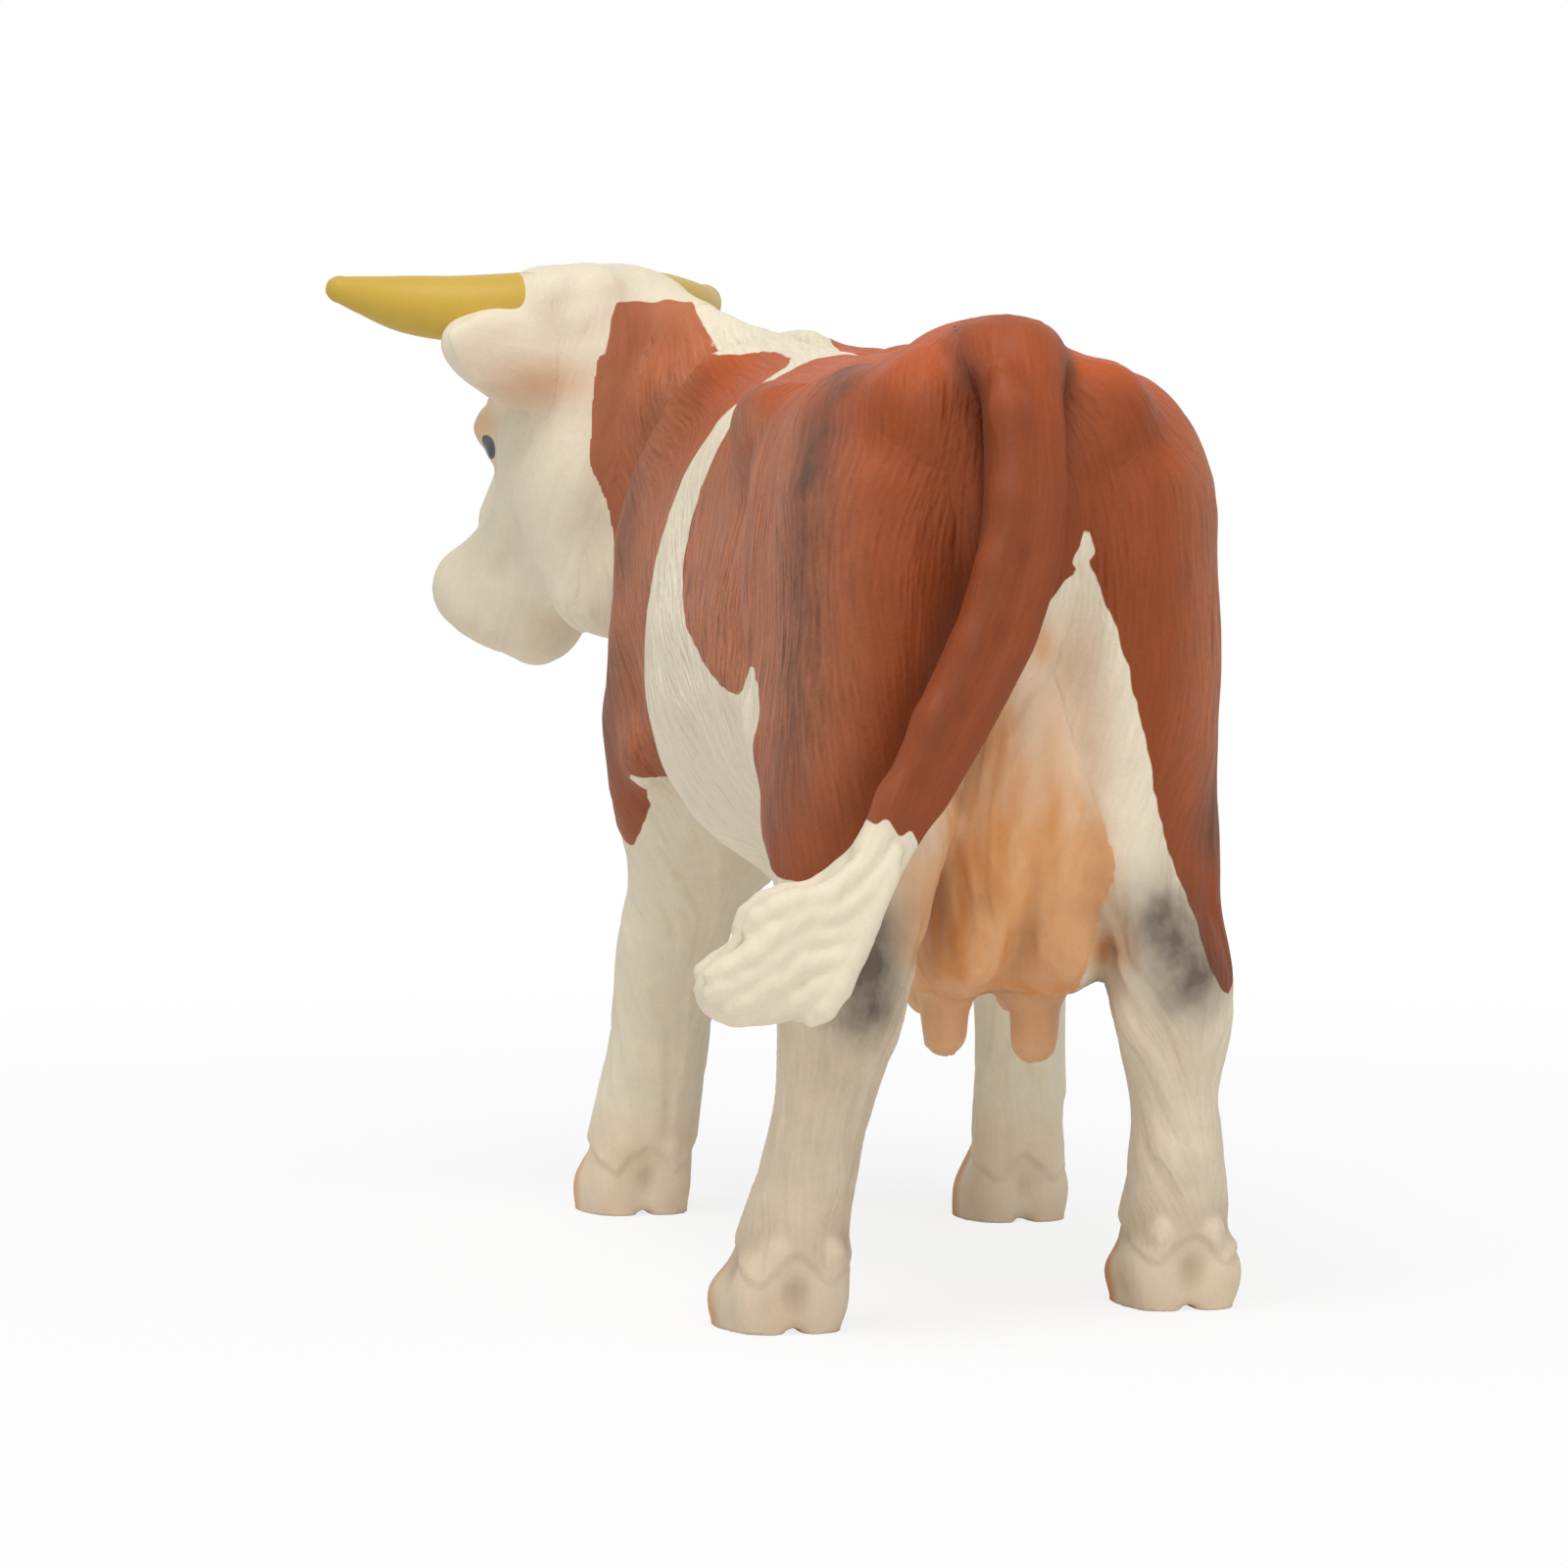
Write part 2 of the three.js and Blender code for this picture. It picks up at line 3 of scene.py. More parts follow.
import bpy
import numpy as np
import openvdb as vdb
from mathutils import Euler, Matrix, Vector


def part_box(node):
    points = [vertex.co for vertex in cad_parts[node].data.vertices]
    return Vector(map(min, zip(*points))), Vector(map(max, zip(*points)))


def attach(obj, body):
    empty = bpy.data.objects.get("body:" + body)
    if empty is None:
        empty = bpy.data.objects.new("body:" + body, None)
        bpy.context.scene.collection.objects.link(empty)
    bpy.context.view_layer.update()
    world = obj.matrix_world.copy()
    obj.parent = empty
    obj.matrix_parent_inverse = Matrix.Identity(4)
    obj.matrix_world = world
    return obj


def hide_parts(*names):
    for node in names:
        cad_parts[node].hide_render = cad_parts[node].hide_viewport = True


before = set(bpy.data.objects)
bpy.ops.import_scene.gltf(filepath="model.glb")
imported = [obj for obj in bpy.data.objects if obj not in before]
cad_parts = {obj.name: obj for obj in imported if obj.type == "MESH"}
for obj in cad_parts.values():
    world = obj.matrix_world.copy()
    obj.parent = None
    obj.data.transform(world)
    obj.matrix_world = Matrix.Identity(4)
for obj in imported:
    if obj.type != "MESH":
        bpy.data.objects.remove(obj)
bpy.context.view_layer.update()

# Camera: a long lens behind the cow and a little to her left, looking slightly down on her.
HIPS = np.array([-11.710857, -8.581667, 0.0])  # the ground under the hips, in the CAD's frame
CAMERA_FROM_HIPS = np.array([-485.75, 117.49, 64.67])
DEGREES_ASIDE, DEGREES_DOWN = 12.5, 2.672
camera = bpy.data.objects.new("camera", bpy.data.cameras.new("camera"))
bpy.context.scene.collection.objects.link(camera)
bpy.context.scene.camera = camera
camera.data.lens = 135
camera.data.sensor_width = 36
camera.data.clip_start = 0.01
camera.location = (CAMERA_FROM_HIPS + HIPS) / 1000
camera.rotation_euler = Euler(np.radians([90 - DEGREES_DOWN, 0, -90 - DEGREES_ASIDE]))


# Trunk: barrel, back, hips and rump, one solid PVC moulding with pockets for the pegs of its
# neighbours. The pattern maker carves the whole cow in wax over a rough core, here the CAD's solids.
# A block of Clay holds the distance to the wax's surface on a grid, as far as FAR.
FAR = 4.0


def soft_min(a, b, blend):
    blend = np.maximum(blend, 1e-3)
    h = np.maximum(blend - np.abs(a - b), 0) / blend
    return np.minimum(a, b) - h * h * blend / 4


def ramp(value, low, high):
    t = np.clip((value - low) / (high - low), 0, 1)
    return t * t * (3 - 2 * t)


class Clay:
    def __init__(self, low, high, step):
        self.step = step
        self.first = np.floor(np.array(low) / step).astype(int)
        self.count = np.ceil(np.array(high) / step).astype(int) - self.first + 1
        axes = [(self.first[i] + np.arange(self.count[i])) * step for i in range(3)]
        axes = [axis.astype(np.float32) for axis in axes]
        self.x, self.y, self.z = np.meshgrid(*axes, indexing="ij", sparse=True)
        self.value = np.full(self.count, FAR, np.float32)

    def twin(self, value):
        """Another block on the same grid."""
        other = Clay.__new__(Clay)
        other.__dict__.update(self.__dict__)
        other.value = value
        return other

    def solid(self, node):
        """The distance to a CAD solid."""
        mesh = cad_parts[node].data
        points = np.empty(len(mesh.vertices) * 3, np.float32)
        mesh.vertices.foreach_get("co", points)
        points = (points.reshape(-1, 3) * 1000 - HIPS).astype(np.float32)
        mesh.calc_loop_triangles()
        corners = np.empty(len(mesh.loop_triangles) * 3, np.int32)
        mesh.loop_triangles.foreach_get("vertices", corners)
        grid = vdb.FloatGrid.createLevelSetFromPolygons(
            points,
            triangles=corners.reshape(-1, 3).astype(np.uint32),
            transform=vdb.createLinearTransform(voxelSize=self.step),
            halfWidth=FAR / self.step,
        )
        values = np.empty(self.count, np.float32)
        grid.copyToArray(values, ijk=tuple(int(i) for i in self.first))
        return values

    def shape(self, deed, distance, low, high, blend, pose):
        """Adds or cuts a shape, only in the part of the block that it can reach."""
        corners = list(product(*zip(low, high)))
        if pose is not None:
            corners = [pose @ Vector(corner) for corner in corners]
        corners = np.array(corners)
        reach = blend + self.step
        near = np.floor((corners.min(0) - reach) / self.step).astype(int) - self.first
        far = np.ceil((corners.max(0) + reach) / self.step).astype(int) - self.first + 1
        near, far = np.maximum(near, 0), np.minimum(far, self.count)
        if (near >= far).any():
            return
        window = tuple(slice(a, b) for a, b in zip(near, far))
        x, y, z = self.x[window[0]], self.y[:, window[1]], self.z[:, :, window[2]]
        if pose is not None:
            turn, place = np.array(pose.to_3x3(), np.float32), np.array(pose.translation, np.float32)
            x, y, z = x - place[0], y - place[1], z - place[2]
            x, y, z = [turn[0, i] * x + turn[1, i] * y + turn[2, i] * z for i in range(3)]
        field = distance(x, y, z).astype(np.float32)
        if deed == "add":
            self.value[window] = soft_min(self.value[window], field, blend)
        else:
            self.value[window] = -soft_min(-self.value[window], field, blend)

    def rod(self, deed, start, end, thick, blend=1.0, thin=None, pose=None):
        start, end = np.array(start, float), np.array(end, float)
        run = end - start
        thin = thick if thin is None else thin

        def distance(x, y, z):
            t = (x - start[0]) * run[0] + (y - start[1]) * run[1] + (z - start[2]) * run[2]
            t = np.clip(t / (run @ run), 0, 1)
            gap = (x - start[0] - t * run[0]) ** 2 + (y - start[1] - t * run[1]) ** 2
            return np.sqrt(gap + (z - start[2] - t * run[2]) ** 2) - (thick + (thin - thick) * t)

        wide = max(thick, thin)
        low, high = np.minimum(start, end) - wide, np.maximum(start, end) + wide
        self.shape(deed, distance, low, high, blend, pose)

    def path(self, deed, points, thick, blend=1.0, thin=None, pose=None):
        sizes = np.linspace(thick, thick if thin is None else thin, len(points))
        for i in range(len(points) - 1):
            self.rod(deed, points[i], points[i + 1], sizes[i], blend, sizes[i + 1], pose)

    def egg(self, deed, centre, radii, blend=1.0, pose=None):
        centre, radii = np.array(centre, float), np.array(radii, float)

        def distance(x, y, z):
            k = sum(((v - c) / r) ** 2 for v, c, r in zip((x, y, z), centre, radii))
            return (np.sqrt(k) - 1) * radii.min()

        self.shape(deed, distance, centre - radii, centre + radii, blend, pose)

    def smooth(self, width):
        reach = int(np.ceil(3 * width / self.step))
        kernel = np.exp(-0.5 * (np.arange(-reach, reach + 1) * self.step / width) ** 2)
        kernel = (kernel / kernel.sum()).astype(np.float32)
        for axis in range(3):
            room = [(reach, reach) if a == axis else (0, 0) for a in range(3)]
            padded = np.pad(self.value, room, "edge")
            total = np.zeros_like(self.value)
            for i, weight in enumerate(kernel):
                part = [slice(None)] * 3
                part[axis] = slice(i, i + self.value.shape[axis])
                total += weight * padded[tuple(part)]
            self.value = total

    def sample(self, points):
        place = points / self.step - self.first
        place = np.clip(place, 0, np.array(self.value.shape) - 1.001)
        i = place.astype(int)
        f = (place - i).astype(np.float32)
        total = 0
        for d in product((0, 1), repeat=3):
            weight = np.prod([f[:, a] if d[a] else 1 - f[:, a] for a in range(3)], axis=0)
            total = total + weight * self.value[i[:, 0] + d[0], i[:, 1] + d[1], i[:, 2] + d[2]]
        return total

    def slope(self, points):
        away = np.eye(3) * self.step * 0.7
        grad = np.stack([self.sample(points + a) - self.sample(points - a) for a in away], axis=1)
        return grad / np.maximum(np.linalg.norm(grad, axis=1, keepdims=True), 1e-9)


# Rods on both sides: what is done, points along it, thickness, blend.
TRUNK_RODS = [
    # the thigh's rear edge, the hollow outside the thigh, the grooves behind and before the shoulder
    ("add", [(-33, 10.5, 72), (-36.3, 13.4, 65), (-36.6, 13.9, 52)], 2.6, 3),
    ("cut", [(-25, 19.7, 77), (-28.5, 23.1, 66), (-29, 23.3, 56)], 3.2, 5),
    ("cut", [(17.5, 18.9, 71), (16, 21.9, 60), (19, 20.9, 47)], 1.8, 4),
    ("cut", [(30, 12.8, 80), (35.5, 17.2, 72), (40.5, 19.5, 62), (43, 19.8, 52)], 1.7, 4),
    # shoulder blade, the belly's milk vein, the skin fold before the thigh
    ("add", [(25, 10.2, 76), (33, 14.2, 62)], 2.4, 4),
    ("add", [(18, 8.5, 33.6), (2, 9, 32.2), (-14, 7.5, 33.5)], 0.9, 1.6),
    ("add", [(-26, 17.0, 46), (-15, 16.2, 52)], 1.4, 3),
]
# Eggs on both sides: centre, three radii, blend; hip bone, pin bone, flank, loin, elbow.
TRUNK_EGGS = [
    ("add", (-13.5, 13.2, 71.2), (6, 3.8, 3.8), 2),
    ("add", (-38.0, 7.6, 72.6), (3.4, 3, 3), 3),
    ("cut", (-3, 20.8, 67.5), (7, 2.6, 5.5), 5),
    ("cut", (-21, 12, 78.9), (6, 4.5, 1.9), 4),
    ("add", (25, 17.2, 43), (3.2, 2.2, 3.2), 2),
]
ONE_SIDED_RODS = [
    # the back's dip, the withers' right edge, the rump's slope on the right of the tail
    ("cut", [(24, 0, 82.7), (17, -1, 81.8), (8, -2, 81.5)], 3.4, 2.5),
    ("cut", [(35, -2.6, 84.3), (31, -3.2, 83.4), (27, -3.4, 82.9), (22, -2.8, 83.3)], 3.7, 1.4),
    ("cut", [(-30, -7.5, 80.4), (-38, -6.4, 79.9), (-42, -5.6, 79.2)], 2.6, 2.0),
    # crest, brisket and throat, the brisket's middle and left, behind the left elbow
    ("add", [(48.5, 10.5, 81.6), (45.5, 8.4, 80.5), (42, 5.9, 78.6), (38, 3.4, 77.1), (32, 1.5, 77.2)],
     3.0, 2.5),
    ("add", [(37, 5.5, 40), (40.5, 8.6, 30)], 2.8, 3.0),
    ("add", [(48, 17.4, 66), (47.8, 17.2, 56.8)], 3.6, 5.0),
    ("add", [(39, 6.0, 36), (42, 9.5, 26)], 3.2, 3.0),
    ("add", [(38, 4.0, 41), (38, 4.8, 34.5)], 4.2, 4.0),
    ("add", [(33.5, 15.1, 45), (33.0, 15.2, 38)], 2.3, 4.0),
    # the thighs' rear edges above the hocks, right and left, the right pin bone and thigh
    ("add", [(-37.5, -9.5, 40), (-37, -11.5, 30)], 2.5, 3.0),
    ("add", [(-37.5, 7.0, 40), (-37.5, 9.5, 30)], 2.5, 3.0),
    ("add", [(-33, -11.4, 72.5), (-34.5, -14.2, 69)], 1.5, 3.0),
    ("add", [(-37, -13.9, 56), (-36.5, -14.2, 46)], 2.2, 3.0),
]
# Grooves beside the tail: points, thickness.
TAIL_GROOVES = [
    ([(-41.8, 4.7, 76.8), (-43.8, 4.8, 73), (-45, 5.2, 67), (-45, 6.3, 58), (-44, 8.6, 49)], 1.3),
    ([(-40, -3.6, 79.5), (-43.6, -3.7, 74), (-45, -4, 67), (-44.6, -3.9, 60)], 1.2),
]


def carve_trunk(clay):
    def mirrored(point, side):
        return (point[0], point[1] * side, point[2])

    for side in (1, -1):
        for deed, points, thick, blend in TRUNK_RODS:
            clay.path(deed, [mirrored(point, side) for point in points], thick, blend)
        for deed, centre, radii, blend in TRUNK_EGGS:
            clay.egg(deed, mirrored(centre, side), radii, blend)
    for deed, points, thick, blend in ONE_SIDED_RODS:
        clay.path(deed, points, thick, blend)
    for points, thick in TAIL_GROOVES:
        clay.path("cut", points, thick, 2.2)


# The trunk's coat lies in short hair. Rows: a place on the left side and the way that the hair lies
# there. The right side is the same, turned over.
HAIR = [
    ((35, 14, 70), (-0.7, -0.3, -0.7)), ((48, 16, 62), (-0.3, -0.1, -1)), ((30, 5, 81), (-1, 0.3, -0.1)),
    ((25, 16, 58), (-0.5, 0, -0.9)), ((30, 17, 42), (-0.2, 0.1, -1)), ((8, 19, 62), (-0.7, 0, -0.7)),
    ((5, 18, 42), (-0.8, -0.2, -0.4)), ((5, 5, 79), (-1, 0.2, 0)), ((-12, 14, 72), (-0.6, 0.5, -0.6)),
    ((-12, 18, 55), (-0.5, 0.2, -0.9)), ((-20, 18, 45), (-0.35, 0.1, -1)), ((-28, 8, 78), (-0.6, 0.9, 0)),
    ((-37, 9, 75), (0, 0.9, -0.5)), ((-40, 7, 68), (0, -0.2, -1)), ((-37, 14, 64), (0, -0.1, -1)),
    ((-39, 11, 55), (0, -0.5, -1)), ((-38, 12, 44), (0, -0.4, -1)), ((-32, 18, 52), (0.1, 0.1, -1)),
    ((-36, 13, 30), (0, 0.1, -1)), ((-36, 14, 18), (0, 0.1, -1)), ((42, 13, 30), (0, 0, -1)),
    ((45, 13, 15), (0, 0, -1)),
]
HAIR_REACH, HAIR_STRAY, STRAY_SIZE = 9.0, 0.45, 11
noise_table = np.random.default_rng(7).uniform(-1, 1, (32, 32, 32)).astype(np.float32)


def speckle(points, size, shift=0.0):
    """Smooth noise from about -1 to 1 in lumps of that size."""
    place = points / size + shift
    cell = np.floor(place).astype(int)
    f = (place - cell).astype(np.float32)
    f = f * f * (3 - 2 * f)
    cell &= 31
    far = (cell + 1) & 31
    total = np.zeros(len(points), np.float32)
    for d in product((0, 1), repeat=3):
        x, y, z = [far[:, a] if d[a] else cell[:, a] for a in range(3)]
        wx, wy, wz = [f[:, a] if d[a] else 1 - f[:, a] for a in range(3)]
        total += wx * wy * wz * noise_table[x, y, z]
    return total


def flat_on(way, normals):
    """The way that hair lies once it is combed flat on the skin."""
    return way - normals * (way * normals).sum(1, keepdims=True)


def coat_way(points, normals):
    places = np.array([place for place, _ in HAIR])
    ways = np.array([way for _, way in HAIR], float)
    ways /= np.linalg.norm(ways, axis=1, keepdims=True)
    folded = points.copy()
    folded[:, 1] = np.abs(folded[:, 1])
    weight = np.exp(-((folded[:, None, :] - places[None]) ** 2).sum(2) / 2 / HAIR_REACH ** 2) + 1e-9
    way = weight @ ways / weight.sum(1, keepdims=True)
    way[:, 1] *= np.where(points[:, 1] < 0, -1, 1)
    way += HAIR_STRAY * np.stack([speckle(points, STRAY_SIZE, shift) for shift in (0.3, 9.1, 17.7)], axis=1)
    return flat_on(way, normals)


# The trunk's patches of brown are masked and brushed over the cream. Outlines from the side, forward
# and up, as smooth loops; the escutcheon, the bare skin over the udder, from behind, aside and up.
SADDLE_LEFT = [
    (10, 95), (9.5, 80), (8, 77), (5.5, 74), (3, 71), (2, 68), (2.2, 65.9), (2.2, 63.8), (0.9, 61.4),
    (-1.3, 58.9), (-3.7, 56.9), (-7, 54.9), (-10.4, 53), (-13.8, 51.4), (-17.7, 50.2), (-20.6, 49.7),
    (-22.4, 50.4), (-24, 52), (-26.2, 51.4), (-28.3, 50), (-28.8, 48), (-27.8, 45.5), (-28.2, 42.7),
    (-30.3, 39), (-32.4, 36.6), (-36, 35.6), (-40, 35.8), (-46, 37), (-60, 38), (-60, 95),
]
SADDLE_RIGHT = [
    (6, 95), (5, 81), (2, 76), (-4, 73), (-7, 69), (-7, 63), (-10, 57), (-14, 52), (-18, 50), (-21.5, 52),
    (-24, 51.5), (-26, 47), (-28.5, 40), (-31.5, 34), (-34.5, 29.5), (-36.8, 26), (-38.2, 25.2), (-41, 27),
    (-60, 30), (-60, 95),
]
SHOULDER_LEFT = [
    (62, 83.9), (52, 84.4), (46, 84.1), (42.6, 83.4), (40.6, 82.6), (39, 81.1), (38, 79.6), (35, 78.9),
    (30, 78.6), (24, 78.3), (21, 78.6), (16, 78.1), (12, 77.3), (9.5, 76.2), (9, 74.5), (10.5, 72.5),
    (11, 70), (10.5, 67), (10.5, 64), (11.5, 60), (13, 56), (14.5, 52), (16, 48), (18.5, 44), (22, 41.2),
    (25, 41), (27, 39.5), (29.5, 36.5), (32, 34.5), (34.5, 36.5), (37, 40), (40, 40), (46, 44), (54, 50),
    (60, 60), (56, 80),
]
SHOULDER_RIGHT = [
    (50, 90), (36, 84), (30, 82.5), (22, 82), (16, 80.5), (12, 77), (12, 72), (14, 66), (13, 60), (16, 54),
    (21, 48), (26, 43), (31, 38), (35, 36.5), (38, 40), (44, 44), (56, 50), (64, 60), (62, 86),
]
SPOT_RIGHT = [(1, 63), (-1.5, 59), (-1, 54), (3, 50.5), (7.5, 52), (8.5, 57), (6, 62)]
ESCUTCHEON = [
    (-5.0, 63.2), (-4.6, 61.8), (-4.0, 60.7), (-4.4, 59.8), (-3.3, 59.0), (-2.2, 57.5), (-0.6, 56.3),
    (1.1, 54.9), (3, 52.2), (5.2, 48.8), (8, 44.6), (10.6, 40.4), (12.8, 37.5), (14, 33), (6, 24), (-6, 22),
    (-18.3, 25.2), (-17.4, 26.4), (-16.6, 27.6), (-15.7, 30.2), (-14.9, 32.9), (-13.3, 36.7), (-11.8, 40.8),
    (-10.8, 44.2), (-9.7, 48), (-8.6, 51.6), (-7.4, 55.5), (-6.3, 58.6), (-5.4, 60.4), (-5.7, 61.4),
]
REAR = -22  # behind this the patches follow the escutcheon
THIGH_GAP_TOP, THIGH_GAP_SIDE = 56, 13  # before it, cream below this height and nearer the middle
HEAD_FROM = 42  # before this the left side's brown stops at the head's edge
NOWHERE = -9.0  # the distance from its edge of a patch that a piece doesn't have
SIDE_WEAR, SHOULDER_WEAR = 0.43, 0.4  # how far the brown is rubbed thin on thighs and shoulders
# The shoulder patch's upper limit, forward and aside, and the line on which the head's cream ends on
# the neck, up and aside
SHOULDER_TOP = [(20, 4.4), (33, 2.9), (36, 7.6), (42, 8.6), (60, 8.6)]
HEAD_EDGE = [(20, 17), (55, 15.6), (60, 15.2), (65, 15.6), (68.2, 16.4), (71, 16.9), (75.3, 17.6),
             (78.8, 17.1), (82.0, 16.5), (84, 15.6), (90, 14.0)]
# Grey sprayed in soft lines: points, reach, strength.
GREY = [
    # left hip, pin bone and the left thigh's edge
    ([(-30, 10.8, 76), (-34.5, 13.4, 73.5), (-37, 15.6, 70)], 2.2, 0.75),
    ([(-37, 15.6, 71), (-38, 16.4, 67)], 1.9, 0.95),
    ([(-38, 16.4, 67), (-38, 16.8, 60), (-38, 17.2, 54), (-37, 18.4, 47), (-34, 20, 41)], 2.3, 0.6),
    # both sides of the tail's root
    ([(-38, 4.2, 78.5), (-43, 4.0, 74.5), (-45, 4.1, 69), (-46, 4.4, 62)], 1.0, 0.6),
    ([(-38, -3.0, 78.5), (-43, -3.2, 74.5), (-44.5, -3.4, 70)], 1.0, 0.6),
    # right hip and the right thigh's edge
    ([(-24, -16, 73), (-30, -18.5, 68), (-31, -19.5, 62)], 2.2, 0.6),
    ([(-31, -20.5, 54), (-33, -19.6, 46), (-36, -18.4, 39)], 1.9, 0.85),
    # left loin, shoulder and elbow
    ([(-14, 15.5, 73), (-8, 17.5, 70)], 3, 0.35),
    ([(36, 14.5, 73), (31, 16, 68), (30, 17.5, 60)], 2.6, 0.5),
    ([(30, 19, 50), (33, 18.6, 43)], 3, 0.55),
    # left hock and its outer side, right hock, the streak along the tail, right hock's outer side
    ([(-41.5, 12.2, 32), (-41.5, 12.0, 26)], 2.8, 1.05),
    ([(-44, 17.0, 29), (-44, 15.4, 26)], 1.6, 0.45),
    ([(-39, -12.4, 31.8), (-39.5, -14.8, 27.6)], 2.8, 1.05),
    ([(-48.5, 3.2, 73), (-49, 3.6, 62), (-49, 5.8, 54), (-49, 9.0, 47)], 0.9, 0.22),
    ([(-38, -18.8, 34), (-37, -19.4, 28)], 1.6, 0.5),
]
# Orange washed down the skin over the udder: points, reach, strength.
FLAMES = [
    ([(-40, -1.2, 57), (-40, -2.6, 52), (-40, -4.4, 46), (-39, -5.8, 41)], 0.9, 0.85),
    ([(-40, -0.4, 50), (-39, -2.0, 44), (-38, -3.0, 38)], 0.8, 0.7),
    ([(-38, -7.6, 40), (-38, -7.9, 32)], 1.0, 0.55),
]


def smooth_loop(corners, steps=5):
    c = np.array(corners, float)
    before, after, later = np.roll(c, 1, 0), np.roll(c, -1, 0), np.roll(c, -2, 0)
    rows = []
    for t in np.arange(steps) / steps:
        square = (2 * before - 5 * c + 4 * after - later) * t * t
        cube = (3 * c - before - 3 * after + later) * t ** 3
        rows.append(0.5 * (2 * c + (after - before) * t + square + cube))
    return np.stack(rows, axis=1).reshape(-1, 2)


def inside(u, v, corners):
    """Distance from the edge of the smooth loop through the corners, positive inside it."""
    loop = smooth_loop(corners)
    best = np.full(len(u), 1e9)
    odd = np.zeros(len(u), bool)
    for (ax, ay), (bx, by) in zip(loop, np.roll(loop, -1, 0)):
        rx, ry = bx - ax, by - ay
        t = np.clip(((u - ax) * rx + (v - ay) * ry) / (rx * rx + ry * ry + 1e-12), 0, 1)
        best = np.minimum(best, (u - ax - t * rx) ** 2 + (v - ay - t * ry) ** 2)
        cross = (ay > v) != (by > v)
        odd ^= cross & (u < ax + (v - ay) * rx / np.where(ry == 0, 1e-12, ry))
    return np.sqrt(best) * np.where(odd, 1, -1)


def sprayed(points, rows):
    """How much paint soft lines of spray leave on each point."""
    amount = np.zeros(len(points))
    for path, reach, strength in rows:
        best = np.full(len(points), 1e9)
        for start, end in zip(path, path[1:]):
            start, end = np.array(start, float), np.array(end, float)
            run = end - start
            t = np.clip((points - start) @ run / (run @ run), 0, 1)
            best = np.minimum(best, ((points - start - t[:, None] * run) ** 2).sum(1))
        amount = np.maximum(amount, strength * np.exp(-0.5 * best / reach ** 2))
    return amount


def brush_wobble(points):
    return 0.16 * speckle(points, 1.6, 3.3) + 0.1 * speckle(points, 0.7, 5.1)


def shoulder_patch(points):
    x, y, z = points.T
    left = y > 0
    patch = np.where(left, inside(x, z, SHOULDER_LEFT), inside(x, z, SHOULDER_RIGHT))
    return np.minimum(patch, np.where(left, y - np.interp(x, *np.array(SHOULDER_TOP).T), -y - 1.0))


def bare_skin(points):
    return inside(points[:, 1], points[:, 2], ESCUTCHEON)


def coat(points, normals):
    """What the painter put where, with painted light on the brown's upward faces: brown's distance from its
    edge, and soft amounts of the rest.
    """
    x, y, z = points.T
    left = y > 0
    bare = bare_skin(points)
    rear = np.where(left, inside(x, z, SADDLE_LEFT), inside(x, z, SADDLE_RIGHT))
    rear = np.where(x < REAR, np.minimum(rear, -bare), rear)
    between_legs = (x >= REAR) & (z < THIGH_GAP_TOP)
    rear = np.where(between_legs, np.minimum(rear, np.abs(y) - THIGH_GAP_SIDE), rear)
    spot = np.where(left, NOWHERE, inside(x, z, SPOT_RIGHT))
    brown = np.maximum(np.maximum(rear, shoulder_patch(points)), spot) + brush_wobble(points)
    cream_ends = np.interp(z, *np.array(HEAD_EDGE).T) + 0.12 * speckle(points, 1.3, 6.6)
    brown = np.where((x > HEAD_FROM) & left, np.minimum(brown, cream_ends - y), brown)
    facing_aside = ramp(np.abs(y), 10.5, 17.5) * ramp(-normals[:, 2], -0.9, -0.3)
    worn = SIDE_WEAR * facing_aside * ramp(z, 30, 50)
    return dict(
        brown=brown,
        grey=sprayed(points, GREY),
        blush=np.zeros(len(points)),
        # painted light: brown that faces up is painted lighter and more orange
        top=ramp(normals[:, 2], 0.15, 0.95) * ramp(z, 55, 76),
        eye=np.full(len(points), NOWHERE),
        worn=np.maximum(worn, SHOULDER_WEAR * ramp(x, 24, 36)),
        hair=np.where(x < REAR, 1 - 0.7 * ramp(bare, -0.5, 2.5), 1.0),
    )


def udder_wash(points):
    """Orange over the udder and the skin above it, stronger lower down."""
    y, z = points[:, 1], points[:, 2]
    all_over = np.exp(-(((y - 0.2) / 7.0) ** 4)) * (0.35 * ramp(-z, -60, -53) + 0.6 * ramp(-z, -53, -38))
    middle = 0.9 * np.exp(-(((y - 1.0) / 2.1) ** 2)) * ramp(-z, -57, -47)
    left_fold = 0.85 * np.exp(-(((y - 6.6) / 3.2) ** 2)) * ramp(-z, -44, -35)
    low_down = 0.95 * ramp(-z, -35, -28) * ramp(-np.abs(y + 1.5), -10.5, -7)
    wash = np.maximum.reduce([all_over, middle, left_fold, low_down, sprayed(points, FLAMES)])
    runs = 0.2 * speckle(points * [0.5, 1, 0.16], 1.3, 4.4) + 0.1 * speckle(points * [1, 1, 0.3], 0.8, 2.4)
    return wash * (0.95 + runs)


def paint_rump(points, values):
    """The wash on the bare skin, and deeper hair strokes on the thighs and flanks."""
    x, y, z = points.T
    washed = udder_wash(points) * ramp(bare_skin(points), -0.5, 2.0) * (x < REAR) * ramp(z, 27, 30)
    values["blush"] = np.maximum(values["blush"], washed)
    values["hair"] *= 1 + 0.7 * ramp(np.abs(y), 14.5, 19) * ramp(z, 42, 50) * ramp(-z, -70, -60)


def paint_trunk(node, points, values):
    paint_rump(points, values)
    values["hair"] *= 1 - 0.7 * ramp(points[:, 0], 38, 43)


